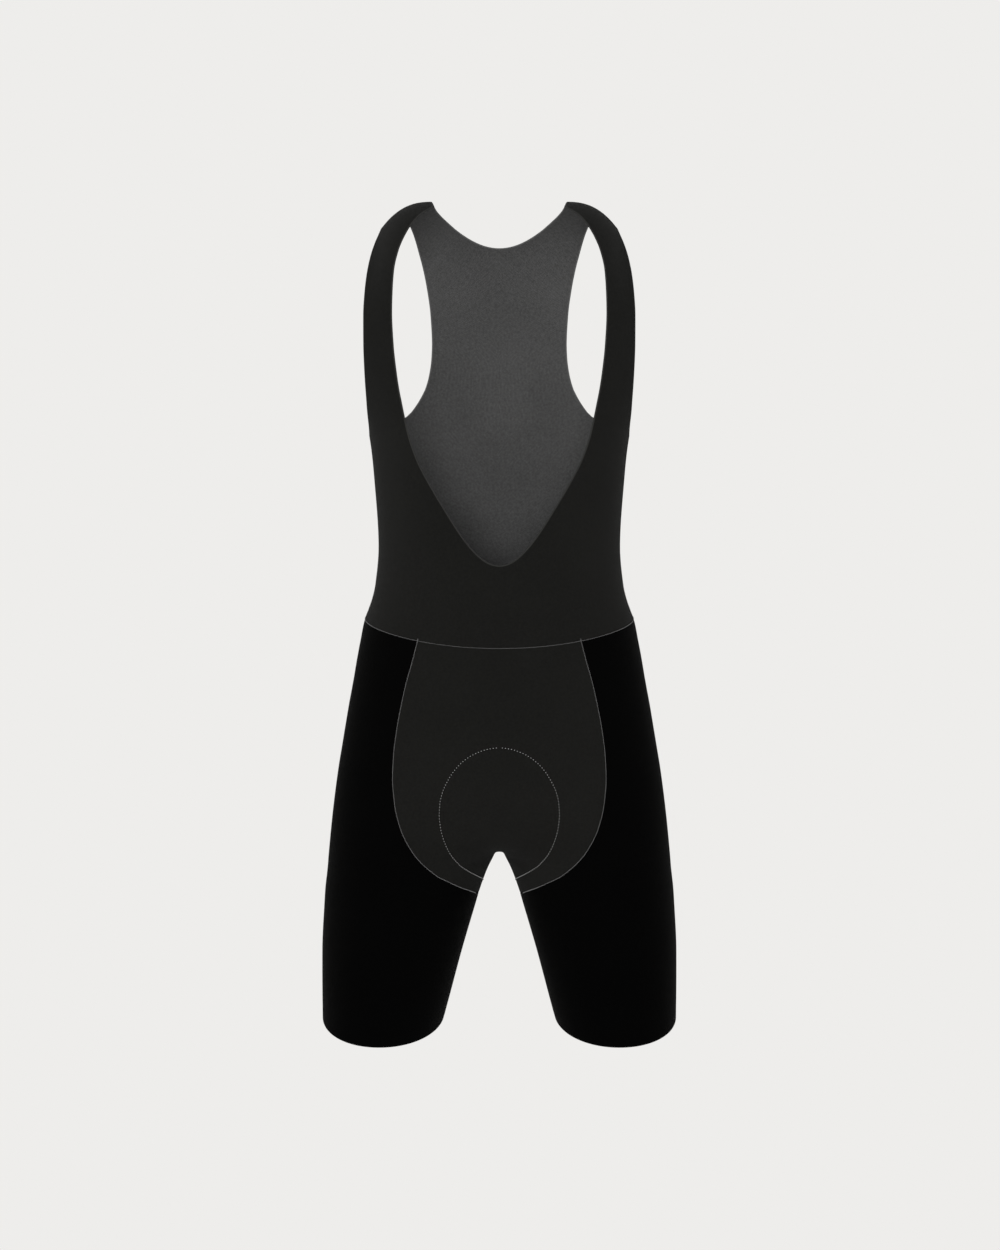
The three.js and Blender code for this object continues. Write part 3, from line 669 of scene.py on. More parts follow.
def joined(grids, mirrored):
    """Points, four-sided faces, and the flat place of each face's corners. Equal points become one."""
    points, flats, faces = [], [], []
    base = 0
    for grid_points, grid_flats in grids:
        rows, columns = grid_points.shape[:2]
        corner = np.arange(rows * columns).reshape(rows, columns)
        a, b = corner[:-1, :-1].ravel(), corner[:-1, 1:].ravel()
        under, beside = corner[1:, :-1].ravel(), corner[1:, 1:].ravel()
        for sign in (1, -1) if mirrored else (1,):
            points.append(grid_points.reshape(-1, 3) * (sign, 1, 1))
            flats.append(grid_flats.reshape(-1, 2) * (sign, 1))
            order = (a, under, beside, b) if sign > 0 else (a, b, beside, under)
            faces.append(np.stack(order, axis=1) + base)
            base += rows * columns
    points = np.concatenate(points) + 0.0
    flats = np.concatenate(flats)
    faces = np.concatenate(faces)
    rounded = np.round(points, SAME_POINT_DECIMALS) + 0.0
    _, first, same = np.unique(rounded, axis=0, return_index=True, return_inverse=True)
    return points[first], same.ravel()[faces], flats[faces]


def face_crosses(points, faces):
    """Each face's normal, twice as long as the face's area."""
    diagonals = [points[faces[:, k + 2]] - points[faces[:, k]] for k in (0, 1)]
    return np.cross(*diagonals)


def vertex_normals(points, faces):
    crossed = face_crosses(points, faces)
    normals = np.zeros_like(points)
    for corner in range(4):
        np.add.at(normals, faces[:, corner], crossed)
    normals[np.abs(points[:, 0]) < ON_MIDDLE, 0] = 0
    return unit(normals)


def rim_of(faces):
    """The directed edges that only one face uses."""
    edges = {}
    for face in faces.tolist():
        for a, b in zip(face, face[1:] + face[:1]):
            if a != b and edges.pop((b, a), None) is None:
                edges[(a, b)] = True
    return np.array(list(edges))


def inward_at(points, normals, rim):
    """The direction into the cloth at each vertex of the rim."""
    along = unit(points[rim[:, 1]] - points[rim[:, 0]])
    inward = np.zeros_like(points)
    for end in (0, 1):
        np.add.at(inward, rim[:, end], unit(np.cross(normals[rim[:, end]], along)))
    return unit(inward)


def tree_of(places):
    tree = KDTree(len(places))
    for i, here in enumerate(places):
        tree.insert(here, i)
    tree.balance()
    return tree


def from_rim(points, inward, rim):
    """Places on the rim, each vertex's distance from it, and the way into the cloth at the nearest place."""
    samples, directions = [], []
    for a, b in rim:
        count = max(int(np.linalg.norm(points[b] - points[a]) / RIM_SAMPLE), 1)
        for t in np.arange(count) / count:
            samples.append(mix(points[a], points[b], t))
            directions.append(mix(inward[a], inward[b], t))
    tree = tree_of(samples)
    found = [tree.find(point)[1:] for point in points]
    nearest = np.array([index for index, _ in found])
    distance = np.array([distance for _, distance in found])
    return samples, distance, unit(np.array(directions)[nearest])


print("places on a rim lie about", RIM_SAMPLE, "mm apart")

# %% [markdown]
# From a surface to cloth
# A cut piece has a thickness and a soft, rounded edge. The edge is drawn in by the radius of the rounding,
# the two faces are offset from the surface, and bands between them round the edge. Where each vertex lay on
# the uncut surface is kept, to tell free edges from sewn ones later.

# %% Cloth
CLOTH = 1.2
EDGE_GAP = 0.06
EDGE_PULL = 6.0
EDGE_STEPS = 4
CUTS = {}


def outer_face(distance):
    return CLOTH / 2


def inner_face(distance):
    return -CLOTH / 2


def new_mesh(name, points, faces):
    mesh = bpy.data.meshes.new(name)
    mesh.from_pydata((points * MM).tolist(), [], faces)
    mesh.polygons.foreach_set("use_smooth", np.ones(len(mesh.polygons), bool))
    return mesh


def new_object(name, mesh):
    mesh.update()
    obj = bpy.data.objects.new(name, mesh)
    bpy.context.collection.objects.link(obj)
    return obj


def band_rows(layers):
    """Faces between each row of edges and the next one."""
    return [
        np.stack([above[:, 1], above[:, 0], below[:, 0], below[:, 1]], axis=1)
        for above, below in zip(layers, layers[1:])
    ]


def write_flat_places(mesh, flats, faces, rim, count, bands):
    """The map flat_mm: each corner's place on the flat cloth. The bands repeat the places on the rim."""
    rim_flat = np.zeros((count, 2))
    rim_flat[faces.ravel()] = flats.reshape(-1, 2)
    band_flat = rim_flat[rim[:, [1, 0, 0, 1]]]
    flat_corners = np.concatenate([flats, flats[:, ::-1], *[band_flat] * bands])
    mesh.uv_layers.new(name="flat_mm").data.foreach_set("uv", flat_corners.ravel())


def cloth(name, grids, mirrored, outer=outer_face, inner=inner_face):
    """A wall of cloth with rounded edges, as an object, and its middle surface's area in square metres."""
    uncut, faces, flats = joined(grids, mirrored)
    count = len(uncut)
    normals = vertex_normals(uncut, faces)
    rim = rim_of(faces)
    inward = inward_at(uncut, normals, rim)
    samples, distance, into = from_rim(uncut, inward, rim)
    half_edge = (outer(0.0) - inner(0.0)) / 2
    middle_edge = (outer(0.0) + inner(0.0)) / 2
    pull = (half_edge + EDGE_GAP) * np.clip(1 - distance / EDGE_PULL, 0, 1)
    points = uncut + into * pull[:, None] - normals * crease_depth(uncut)[:, None]
    walls = [points + normals * (face(distance) * np.ones(count))[:, None] for face in (outer, inner)]

    turns = [pi / 2 - pi * step / EDGE_STEPS for step in range(1, EDGE_STEPS)]
    edge = np.unique(rim)
    edge_rows = [
        points[edge] + normals[edge] * (middle_edge + half_edge * np.sin(turn))
        - inward[edge] * half_edge * cos(turn)
        for turn in turns
    ]
    slot = np.zeros(count, int)
    slot[edge] = np.arange(len(edge))
    layers = [rim] + [2 * count + k * len(edge) + slot[rim] for k in range(len(turns))] + [rim + count]
    bands = band_rows(layers)

    all_faces = np.concatenate([faces, faces[:, ::-1] + count, *bands])
    mesh = new_mesh(name, np.concatenate([*walls, *edge_rows]), all_faces.tolist())
    write_flat_places(mesh, flats, faces, rim, count, len(bands))
    CUTS[name] = (mesh, np.concatenate([uncut, uncut, *[uncut[edge]] * len(turns)]), samples)
    area = float(np.linalg.norm(face_crosses(points, faces), axis=1).sum() / 2) * MM * MM
    print(name, "faces:", len(all_faces), "area:", round(area, 4), "m2")
    return new_object(name, mesh), area


print("cloth is", CLOTH, "mm thick")

# %% [markdown]
# Knit, in a shader
# Stretch jersey is columns of small V loops, about two for each millimetre. One node group makes that height
# from the flat place on the cloth, so every jersey piece shares it. A second group makes the open micro-mesh
# of the back, a third one the painted highlight line along each free edge, and a fourth one the yarn's tone.

# %% Node helpers
def new_group(name, inputs, outputs):
    """A shader group with named sockets. Returns its tree, and its input and output nodes."""
    tree = bpy.data.node_groups.new(name, "ShaderNodeTree")
    for socket_name, kind, value in inputs:
        socket = tree.interface.new_socket(socket_name, in_out="INPUT", socket_type=kind)
        if value is not None:
            socket.default_value = value
    for socket_name, kind in outputs:
        tree.interface.new_socket(socket_name, in_out="OUTPUT", socket_type=kind)
    return tree, tree.nodes.new("NodeGroupInput"), tree.nodes.new("NodeGroupOutput")


def feed(tree, socket, value):
    if isinstance(value, bpy.types.NodeSocket):
        tree.links.new(value, socket)
    else:
        socket.default_value = value


def calc(tree, operation, *values):
    node = tree.nodes.new("ShaderNodeMath")
    node.operation = operation
    for socket, value in zip(node.inputs, values):
        feed(tree, socket, value)
    return node.outputs[0]


def ramp(tree, value, low, high):
    """From 0 where the value is low to 1 where it is high, softly."""
    node = tree.nodes.new("ShaderNodeMapRange")
    node.interpolation_type = "SMOOTHSTEP"
    for socket, number in zip(node.inputs, (value, low, high, 0.0, 1.0)):
        feed(tree, socket, number)
    return node.outputs[0]


def noise(tree, vector, scale, detail):
    node = tree.nodes.new("ShaderNodeTexNoise")
    feed(tree, node.inputs["Vector"], vector)
    node.inputs["Scale"].default_value = scale
    node.inputs["Detail"].default_value = detail
    return node.outputs[0]


def named(sockets, name, kind):
    return next(socket for socket in sockets if socket.name == name and socket.type == kind)


def mixed(tree, share, first, second):
    node = tree.nodes.new("ShaderNodeMix")
    node.data_type = "RGBA"
    feed(tree, named(node.inputs, "Factor", "VALUE"), share)
    for name, color in (("A", first), ("B", second)):
        feed(tree, named(node.inputs, name, "RGBA"), (*color, 1) if isinstance(color, tuple) else color)
    return named(node.outputs, "Result", "RGBA")


def add_group(tree, group):
    node = tree.nodes.new("ShaderNodeGroup")
    node.node_tree = group
    return node


def new_finish(name, roughness, specular):
    """A material, its tree and its shader, with the two settings that all the finishes have."""
    material = bpy.data.materials.new(name)
    material.use_nodes = True
    shader = material.node_tree.nodes["Principled BSDF"]
    shader.inputs["Roughness"].default_value = roughness
    shader.inputs["Specular IOR Level"].default_value = specular
    return material, material.node_tree, shader


def raise_surface(tree, shader, height, relief):
    """Relief of this many millimetres, where the height is greatest."""
    bump = tree.nodes.new("ShaderNodeBump")
    bump.inputs["Distance"].default_value = relief * MM
    tree.links.new(height, bump.inputs["Height"])
    tree.links.new(bump.outputs[0], shader.inputs["Normal"])


def in_cells(tree, given, across_size, down_size):
    """The place on the flat cloth, counted in cells of these two sizes."""
    split = tree.nodes.new("ShaderNodeSeparateXYZ")
    tree.links.new(given.outputs["Flat mm"], split.inputs[0])
    return [
        calc(tree, "DIVIDE", split.outputs[axis], given.outputs[size])
        for axis, size in (("X", across_size), ("Y", down_size))
    ]


FLOAT, VECTOR = "NodeSocketFloat", "NodeSocketVector"
print("node helpers ready")

# %% Jersey group
LOOP_CLIMB = 1.4
LOOP_MIDDLE, LOOP_SWING = 0.75, 0.25


def jersey_group():
    """A column of loops is two slanted threads side by side, and each loop is one turn of a wave."""
    tree, given, result = new_group(
        "jersey", [("Flat mm", VECTOR, None), ("Wale mm", FLOAT, 0.55), ("Course mm", FLOAT, 0.42)],
        [("Height", FLOAT), ("Loop", FLOAT)],
    )
    across, down = in_cells(tree, given, "Wale mm", "Course mm")
    beside = calc(tree, "ABSOLUTE", calc(tree, "SUBTRACT", calc(tree, "FRACT", across), 0.5))
    leg = calc(tree, "SUBTRACT", 1.0, calc(tree, "ABSOLUTE", calc(tree, "MULTIPLY_ADD", beside, 4.0, -1.0)))
    climb = calc(tree, "MULTIPLY_ADD", beside, -LOOP_CLIMB, down)
    wave = calc(tree, "SINE", calc(tree, "MULTIPLY", climb, 2 * pi))
    loop = calc(tree, "MULTIPLY_ADD", wave, LOOP_SWING, LOOP_MIDDLE)
    height = calc(tree, "MULTIPLY", calc(tree, "SQRT", calc(tree, "MAXIMUM", leg, 0.0)), loop)
    tree.links.new(height, result.inputs["Height"])
    tree.links.new(leg, result.inputs["Loop"])
    return tree


JERSEY = jersey_group()
print("group:", JERSEY.name)

# %% Micro-mesh group
HOLE_START, HOLE_END = 0.7, 1.35


def mesh_group():
    """Two sets of round holes. The second one lies half a cell across and half a cell down from the first."""
    tree, given, result = new_group(
        "micro_mesh",
        [
            ("Flat mm", VECTOR, None), ("Across mm", FLOAT, 1.5), ("Down mm", FLOAT, 2.1),
            ("Hole mm", FLOAT, 0.42),
        ],
        [("Height", FLOAT), ("Hole", FLOAT)],
    )
    across, down = in_cells(tree, given, "Across mm", "Down mm")
    holes = []
    for shift in (0.0, 0.5):
        gaps = []
        for cells, size in ((across, "Across mm"), (down, "Down mm")):
            inside = calc(tree, "FRACT", calc(tree, "ADD", cells, shift))
            gaps.append(calc(tree, "MULTIPLY", calc(tree, "SUBTRACT", inside, 0.5), given.outputs[size]))
        apart = calc(tree, "SQRT", calc(tree, "ADD", *[calc(tree, "MULTIPLY", gap, gap) for gap in gaps]))
        holes.append(calc(tree, "DIVIDE", apart, given.outputs["Hole mm"]))
    nearest = calc(tree, "MINIMUM", *holes)
    solid = ramp(tree, nearest, HOLE_START, HOLE_END)
    tree.links.new(solid, result.inputs["Height"])
    tree.links.new(calc(tree, "SUBTRACT", 1.0, solid), result.inputs["Hole"])
    return tree


MICRO_MESH = mesh_group()
print("group:", MICRO_MESH.name)

# %% Edge and tone groups
LINE_FADE_START, LINE_FADE_END = 0.6, 1.2


def edge_highlight_group():
    """The mask of the painted highlight line: 1 at a free edge of the cloth, and 0 from a little past the
    line's width.
    """
    tree, given, result = new_group(
        "painted_edge_highlight", [("Distance mm", FLOAT, 0.0), ("Width mm", FLOAT, 0.9)], [("Line", FLOAT)]
    )
    share = calc(tree, "DIVIDE", given.outputs["Distance mm"], given.outputs["Width mm"])
    past = ramp(tree, share, LINE_FADE_START, LINE_FADE_END)
    tree.links.new(calc(tree, "SUBTRACT", 1.0, past), result.inputs["Line"])
    return tree


FLECKS = {"scale": 420.0, "part": 0.65}
SLOW_CHANGES = {"scale": 14.0, "part": 0.35}


def tone_group():
    """Yarn is never one even colour: fine flecks, and slow changes across the cloth."""
    tree, given, result = new_group("yarn_tone", [("Place m", VECTOR, None)], [("Tone", FLOAT)])
    parts = [
        calc(tree, "MULTIPLY", noise(tree, given.outputs["Place m"], row["scale"], detail=2.0), row["part"])
        for row in (FLECKS, SLOW_CHANGES)
    ]
    tree.links.new(calc(tree, "ADD", *parts), result.inputs["Tone"])
    return tree


EDGE_HIGHLIGHT = edge_highlight_group()
YARN_TONE = tone_group()
print("groups:", EDGE_HIGHLIGHT.name, YARN_TONE.name)

# %% [markdown]
# Finishes
# The front, the straps and the centre front panel are charcoal jersey, the legs a denser black one, and the
# back a grey micro-mesh. All three are matt, with a little sheen along the sides, as brushed elastane has.
# Each finish is its own colour and gauge over the same groups.

# %% Cloth finishes
SHEEN_ROUGHNESS = 0.45
PAINTED_LIGHT_BETWEEN_YARNS = 0.5


def fabric(name, pattern, sizes, color, dark, edge, relief, roughness, sheen, specular):
    """A cloth finish: color on the tops of the yarns, dark as painted shade between them and as the low end
    of their tone, and edge as a painted highlight along a free edge.
    """
    material, tree, shader = new_finish(name, roughness, specular)
    shader.inputs["Sheen Weight"].default_value = sheen
    shader.inputs["Sheen Roughness"].default_value = SHEEN_ROUGHNESS
    flat = tree.nodes.new("ShaderNodeUVMap")
    flat.uv_map = "flat_mm"
    knit = add_group(tree, pattern)
    tree.links.new(flat.outputs[0], knit.inputs["Flat mm"])
    for socket_name, value in sizes.items():
        knit.inputs[socket_name].default_value = value
    spot = tree.nodes.new("ShaderNodeTexCoord")
    tone = add_group(tree, YARN_TONE)
    tree.links.new(spot.outputs["Object"], tone.inputs["Place m"])
    # Painted shade: the cloth is darker where the knit's height is low, between the loops and in the mesh's
    # holes.
    painted_valley_shade = calc(
        tree, "MULTIPLY_ADD", knit.outputs["Height"], 1 - PAINTED_LIGHT_BETWEEN_YARNS, PAINTED_LIGHT_BETWEEN_YARNS
    )
    yarn = mixed(tree, calc(tree, "MULTIPLY", tone.outputs["Tone"], painted_valley_shade), dark, color)
    # Painted highlight: the edge colour is mixed in along each free edge, as a lighter line where a rounded
    # edge would catch the light.
    distance = tree.nodes.new("ShaderNodeAttribute")
    distance.attribute_name = "edge_mm"
    cut = add_group(tree, EDGE_HIGHLIGHT)
    tree.links.new(distance.outputs["Fac"], cut.inputs["Distance mm"])
    tree.links.new(mixed(tree, cut.outputs["Line"], yarn, edge), shader.inputs["Base Color"])
    raise_surface(tree, shader, knit.outputs["Height"], relief)
    return material


# Each edge colour is the painted highlight along that cloth's free edges.
CHARCOAL = fabric(
    "charcoal_jersey", JERSEY, {"Wale mm": 0.55, "Course mm": 0.42}, color=(0.011, 0.011, 0.0101),
    dark=(0.0026, 0.0026, 0.0023), edge=(0.02, 0.02, 0.019), relief=0.16, roughness=0.85, sheen=0.012,
    specular=0.04,
)
BLACK = fabric(
    "black_jersey", JERSEY, {"Wale mm": 0.42, "Course mm": 0.34}, color=(0.0011, 0.0011, 0.0011),
    dark=(0.0003, 0.0003, 0.0003), edge=(0.003, 0.003, 0.003), relief=0.1, roughness=0.7, sheen=0.002,
    specular=0.008,
)
GREY = fabric(
    "grey_micro_mesh", MICRO_MESH, {"Across mm": 1.5, "Down mm": 2.1, "Hole mm": 0.4},
    color=(0.088, 0.088, 0.088), dark=(0.02, 0.02, 0.02), edge=(0.075, 0.075, 0.075), relief=0.3,
    roughness=0.9, sheen=0.02, specular=0.08,
)
PAD_COVER = fabric(
    "brushed_pad_cover", JERSEY, {"Wale mm": 0.9, "Course mm": 0.7}, color=(0.045, 0.046, 0.048),
    dark=(0.02, 0.02, 0.022), edge=(0.03, 0.03, 0.03), relief=0.25, roughness=0.95, sheen=0.15,
    specular=0.1,
)
print("finishes:", [material.name for material in (CHARCOAL, BLACK, GREY, PAD_COVER)])

# %% [markdown]
# Dressing a node
# Each dressed piece takes the place of one solid, rides on the one body, and gets its finish.
# The cloth was cut smaller than it is worn, because it is stretched by about an eighth each way.


def dress(piece, node, material):
    piece.data.materials.append(material)
    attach(piece, BODY)
    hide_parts(node)


def sheet(name, node, material, rows_grid, mirrored=True):
    """A dressed piece of cloth."""
    piece, area = cloth(name, [rows_grid], mirrored)
    dress(piece, node, material)


# %% [markdown]
# Bib front
# One piece of charcoal jersey makes the front of the bib and both straps, which pass over the shoulders to
# their seams behind. It is cut out in a deep scoop and two armholes.

# %% Bib front
STRAP_SEAM_ANGLE = 20
SCOOP_LEVEL = 310
ARM_LEVEL = 200
BIB_LEVEL = 400
BIB_COLUMNS = 48
ANGLE_STEP, STRAP_ANGLE_STEP = 2, 3

bib_rows = [
    *rows_on(turned(range(STRAP_SEAM_ANGLE, 0, -STRAP_ANGLE_STEP), BACK_ROUND), back_neck, back_outer),
    *rows_on(turned(range(0, 90, ANGLE_STEP), FRONT_ROUND), strap_inner, strap_outer),
    *rows_on([FRONT_ROUND, *down_to(FRONT_ROUND, ARM_LEVEL)], strap_inner, strap_outer),
    *rows_on(closing(ARM_LEVEL, ARMHOLE_DROP), strap_inner, strap_outer),
    *rows_on(down_to(ARMHOLE_DROP, SCOOP_LEVEL), strap_inner, side_seam),
    *rows_on(closing(SCOOP_LEVEL, SCOOP_DROP), strap_inner, side_seam),
    *rows_on(down_to(SCOOP_DROP, BIB_LEVEL), centre_front, side_seam),
    *rows_on(to_slanted(BIB_LEVEL, waist_drop, count=9), centre_front, side_seam),
]
bib_width = 2 * float(girth_at(WAIST_DROP) * side_seam(WAIST_DROP))
bib_grid = grid(bib_rows, BIB_COLUMNS)
sheet("bib_front_cloth", "bib_front", CHARCOAL, bib_grid)

# %% [markdown]
# Back panel
# The racerback is one piece of grey micro-mesh. It narrows between the armholes, reaches up to the straps'
# seams, and carries the round back neckline. Its inside shows through the scoop.

# %% Back panel
NECK_LEVEL = 25
NECK_ANGLE = 48

back_rows = [
    *rows_on(turned(range(STRAP_SEAM_ANGLE, NECK_ANGLE, ANGLE_STEP), BACK_ROUND), back_outer, back_neck),
    *rows_on(closing(NECK_LEVEL, NECK_DROP), back_outer, back_neck),
    *rows_on(down_to(NECK_DROP, ARM_LEVEL), back_outer, centre_back),
    *rows_on(closing(ARM_LEVEL, ARMHOLE_DROP), back_outer, centre_back),
    *rows_on(down_to(ARMHOLE_DROP, BIB_LEVEL), side_seam, centre_back),
    *rows_on(to_slanted(BIB_LEVEL, waist_drop, count=6), side_seam, centre_back),
]
back_width = 2 * float(girth_at(WAIST_DROP) * (1 - side_seam(WAIST_DROP)))
back_grid = grid(back_rows, BIB_COLUMNS)
sheet("back_panel_cloth", "back_panel", GREY, back_grid)

# %% [markdown]
# Centre front panel
# The charcoal panel at the front of the shorts is narrow at the waist, wide over the belly, and runs down
# between the legs to a tip on each inseam. Its tips also run back under the body.

# %% Centre front panel
SHORTS_LEVEL = 478
SEAT_LEVEL = 636
FRONT_COLUMNS = 36

shorts_levels = [
    waist_drop,
    *to_flat(waist_drop, SHORTS_LEVEL, count=11),
    *down_to(SHORTS_LEVEL, SEAT_LEVEL),
    *closing(SEAT_LEVEL, CROTCH_DROP, count=16),
    *opening(CROTCH_DROP, TIP_LEVEL, count=10),
]
front_levels = [*shorts_levels, *to_slanted(TIP_LEVEL, tip_drop, count=4)]
on_front = (LEVELS > WAIST_DROP) & (LEVELS < CROTCH_DROP)
front_width = 2 * float((front_seam(LEVELS) * GIRTH)[on_front].max())
front_grid = grid(rows_on(front_levels, centre_front, front_seam), FRONT_COLUMNS)
sheet("front_panel_cloth", "front_panel", CHARCOAL, front_grid)

# %% [markdown]
# Legs
# Each leg is one piece of black jersey that goes round the outside of the thigh, from the front panel's seam
# to the centre back seam, and is closed along the inseam. The hems are bonded flat, with no band.

# %% Legs
HEM_LEVEL = 818
LEG_COLUMNS = 110
TIP_CELL, CORNER_CELL = 3, 2.5


def tip_line(drop):
    """The last stretch of the front seam, straight from its corner to the inseam."""
    return float(front_seam(TIP_DROP)) * (SEAM_END - drop) / (SEAM_END - TIP_DROP)


leg_rows = [
    *rows_on(shorts_levels, front_seam, centre_back),
    *rows_on(down_to(TIP_LEVEL, TIP_DROP, TIP_CELL), front_seam, centre_back),
    *rows_on(down_to(TIP_DROP, SEAM_END, CORNER_CELL), tip_line, centre_back),
    *rows_on(down_to(SEAM_END, HEM_LEVEL), centre_front, centre_back),
    *rows_on(to_slanted(HEM_LEVEL, hem_drop, count=15), centre_front, centre_back),
]
left_points, left_flats = grid(leg_rows, LEG_COLUMNS)
leg_grids = {
    "left": (left_points, left_flats),
    "right": (left_points[:, ::-1] * (-1, 1, 1), left_flats[:, ::-1] * (-1, 1)),
}
for leg_name, leg_grid in leg_grids.items():
    node = f"leg_panel_{leg_name}"
    sheet(f"leg_{leg_name}_cloth", node, BLACK, leg_grid, mirrored=False)

# %% [markdown]
# Pad
# A foam pad lies inside the crotch. It is thin where it is sewn to the front panel and the legs, and swells
# to eight millimetres in the middle.

# %% Pad
PAD_CLEARANCE = 1.0
PAD_EDGE, PAD_MIDDLE, PAD_SLOPE = 1.6, 8, 26
PAD_FRONT_TOP, PAD_BACK_TOP, PAD_BOTTOM = 550.9, 565.6, 717
PAD_FACE = -CLOTH / 2 - PAD_CLEARANCE
PAD_COLUMNS = 20
TOP_ROW_ABOVE = 0.01


def pad_levels(top):
    return [
        *opening(top - TOP_ROW_ABOVE, SEAT_LEVEL, count=20),
        *closing(SEAT_LEVEL, CROTCH_DROP, count=16),
        *opening(CROTCH_DROP, PAD_BOTTOM, count=10),
    ]


def pad_outside(distance):
    return PAD_FACE


def pad_inside(distance):
    return PAD_FACE - mix(PAD_EDGE, PAD_MIDDLE, smooth(distance / PAD_SLOPE))


pad_grids = [
    grid(rows_on(pad_levels(PAD_FRONT_TOP), centre_front, pad_front), PAD_COLUMNS),
    grid(rows_on(pad_levels(PAD_BACK_TOP), pad_back, centre_back), PAD_COLUMNS),
]
pad, _ = cloth("pad_foam", pad_grids, mirrored=True, outer=pad_outside, inner=pad_inside)
dress(pad, "pad", PAD_COVER)

# %% [markdown]
# Free edges
# A cut edge that no other piece is sewn to is bonded flat, and gets a thin lighter line of painted highlight:
# at the neck, the scoop, the armholes and the hems. Along a seam it is hidden by the stitches. Every vertex
# gets its distance from its own piece's nearest free edge, for the finishes to use.

# %% Free edges
SEWN_WITHIN = 1.5
NO_EDGE = 100.0


def mark_free_edges(name):
    mesh, uncut, rim_places = CUTS[name]
    others = [places for other, (_, _, places) in CUTS.items() if other not in (name, "pad_foam")]
    sewn = tree_of(np.concatenate(others))
    free = [here for here in rim_places if sewn.find(here)[2] > SEWN_WITHIN]
    nearest = tree_of(free)
    distance = [nearest.find(here)[2] if free else NO_EDGE for here in uncut]
    mesh.attributes.new("edge_mm", "FLOAT", "POINT").data.foreach_set("value", distance)
    print(name, "free edge, in places on its rim:", len(free), "of", len(rim_places))


for piece_name in CUTS:
    mark_free_edges(piece_name)

# %% [markdown]
# Stitches
# The pieces are joined edge to edge by flatlock seams: slanted threads that cross the seam side by side, so
# that nothing rubs. The front seams have a paler thread. The pad is held by a line of single stitches round
# its edge, which shows on the outside as the dotted oval on the front panel. Each stitch is a short arched
# thread with both ends in the cloth.

# %% Stitch maker
RING_PLACES = np.array([-0.5, -0.36, 0.0, 0.36, 0.5])
RING_HEIGHTS = np.array([-1.1, 0.1, 0.7, 0.1, -1.1])
RING_SIZES = np.array([0.6, 0.95, 1.0, 0.95, 0.6])
SIDES = 5
CLEAR = 0.12
FIBRE_SCALE = 1500.0
THREAD_SHADE = 0.6


def thread_finish(name, color):
    material, tree, shader = new_finish(name, roughness=0.6, specular=0.25)
    spot = tree.nodes.new("ShaderNodeTexCoord")
    fibres = noise(tree, spot.outputs["Object"], FIBRE_SCALE, detail=2.0)
    shade = tuple(value * THREAD_SHADE for value in color)
    tree.links.new(mixed(tree, fibres, shade, color), shader.inputs["Base Color"])
    raise_surface(tree, shader, fibres, relief=0.05)
    return material


SEAM_THREAD = thread_finish("grey_thread", (0.1, 0.1, 0.1))
FRONT_THREAD = thread_finish("pale_thread", (0.15, 0.15, 0.15))
PAD_THREAD = thread_finish("light_grey_thread", (0.25, 0.25, 0.25))


def read_along(at, travelled, rows):
    return np.stack([np.interp(at, travelled, rows[:, k]) for k in range(3)], axis=1)


def along_line(drops, shares, pitch, sign=1):
    """Evenly spaced places on a seam: points, directions along it and normals."""
    points = place(drops, shares) * (sign, 1, 1)
    normals = normal_at(drops, shares) * (sign, 1, 1)
    points = points - normals * crease_depth(points)[:, None]
    travelled = np.concatenate([[0], np.cumsum(np.linalg.norm(np.diff(points, axis=0), axis=1))])
    count = max(int(travelled[-1] / pitch), 1)
    at = (np.arange(count) + 0.5) * travelled[-1] / count
    ahead, here, behind = (read_along(at + shift, travelled, points) for shift in (pitch / 4, 0, -pitch / 4))
    return here, unit(ahead - behind), unit(read_along(at, travelled, normals))


def sew(name, lines, length, radius, slant, material):
    """One mesh of stitches on these lines, each turned by slant degrees from its line's direction."""
    centres, along, normals = (np.concatenate(parts) for parts in zip(*lines))
    beside = unit(np.cross(normals, along))
    turn = radians(slant)
    way = unit(along * cos(turn) + beside * np.sin(turn))
    over = unit(np.cross(normals, way))
    surface = CLOTH / 2 + CLEAR
    angles = 2 * pi * np.arange(SIDES) / SIDES
    rings = []
    for step, height, size in zip(RING_PLACES, RING_HEIGHTS, RING_SIZES):
        middle = centres + way * step * length + normals * (surface + height * radius)
        for angle in angles:
            rings.append(middle + radius * size * (over * cos(angle) + normals * np.sin(angle)))
    side = np.arange(SIDES)
    around_it = np.stack([side, (side + 1) % SIDES, (side + 1) % SIDES + SIDES, side + SIDES], axis=1)
    last_ring = (len(RING_PLACES) - 1) * SIDES
    quads = np.concatenate([around_it + first for first in range(0, last_ring, SIDES)])
    starts = np.arange(len(centres)) * len(rings)
    faces = (starts[:, None, None] + quads[None]).reshape(-1, 4).tolist()
    faces += [list(start + side[::-1]) for start in starts]
    faces += [list(start + last_ring + side) for start in starts]
    mesh = new_mesh(name, np.stack(rings, axis=1).reshape(-1, 3), faces)
    mesh.materials.append(material)
    stitches = new_object(name, mesh)
    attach(stitches, BODY)
    print(name, "stitches:", len(centres), "faces:", len(mesh.polygons))


print("a stitch has", len(RING_PLACES) * SIDES, "points")

# %% Flatlock seams
SEAM_PITCH = 0.72
SEAM_STITCH = 0.95
SEAM_RADIUS = 0.17
SEAM_SLANT = 62
FINE = 400
BELOW_WAIST, ABOVE_CROTCH, FROM_EDGE = 7, 0.5, 1


def on_both_sides(drops, shares, pitch=SEAM_PITCH):
    return [along_line(drops, shares, pitch, sign) for sign in (1, -1)]


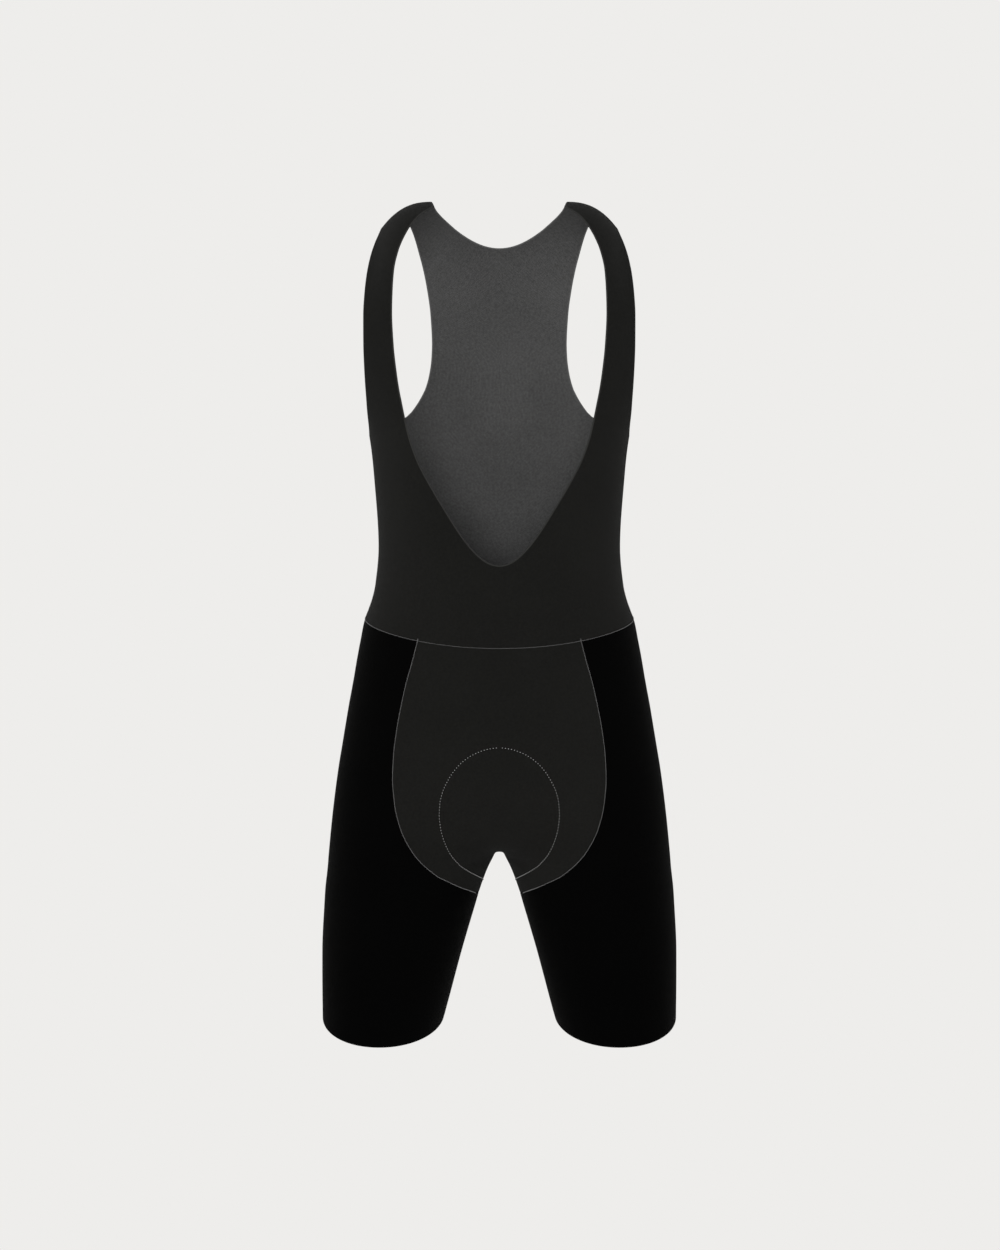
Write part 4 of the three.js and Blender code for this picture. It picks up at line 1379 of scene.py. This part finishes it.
def down_the(seam, first, last):
    drops = np.linspace(first, last, FINE)
    return drops, seam(drops)


waist_shares = np.linspace(0, 1, 2 * FINE)
waist_drops = settle(waist_drop, lambda drop: waist_shares, len(waist_shares))
strap_drop = turned([STRAP_SEAM_ANGLE], BACK_ROUND)[0]
strap_shares = np.linspace(float(back_outer(strap_drop)), float(back_neck(strap_drop)), FINE)
back_top, back_end = WAIST_DROP - WAIST_BACK_RISE, CROTCH_DROP - ABOVE_CROTCH

seams = {
    "waist_seam": on_both_sides(waist_drops, waist_shares),
    "front_seams": on_both_sides(*down_the(front_seam, WAIST_DROP + BELOW_WAIST, TIP_DROP)),
    "centre_back_seam": [along_line(*down_the(centre_back, back_top, back_end), SEAM_PITCH)],
    "inseams": on_both_sides(*down_the(centre_front, SEAM_END, HEM_DROP - FROM_EDGE)),
    "side_seams": on_both_sides(*down_the(side_seam, ARMHOLE_DROP + FROM_EDGE, WAIST_DROP)),
    "strap_seams": on_both_sides(np.full(FINE, strap_drop), strap_shares),
}
for seam_name, lines in seams.items():
    thread = FRONT_THREAD if seam_name == "front_seams" else SEAM_THREAD
    sew(f"{seam_name}_flatlock", lines, SEAM_STITCH, SEAM_RADIUS, SEAM_SLANT, thread)

# %% Pad stitching
PAD_PITCH = 3.15
PAD_STITCH = 1.05
PAD_RADIUS = 0.42
PAD_LINE_IN = 1.0


def pad_line(edge, first, last, way):
    """The line of stitches just inside the pad's edge. Its drops crowd where the edge turns round."""
    drops = first + (last - first) * (1 - np.cos(np.linspace(0, pi, FINE))) / 2
    shares = edge(drops) + way * PAD_LINE_IN / girth_at(drops)
    return drops, np.clip(shares, 0, 1)


ovals = {
    "front": pad_line(pad_front, PAD_FRONT[0][0], PAD_BOTTOM, -1),
    "back": pad_line(pad_back, PAD_BACK[0][0], PAD_BOTTOM, 1),
}
for half, oval in ovals.items():
    sew(f"pad_stitching_{half}", on_both_sides(*oval, PAD_PITCH), PAD_STITCH, PAD_RADIUS, 0, PAD_THREAD)
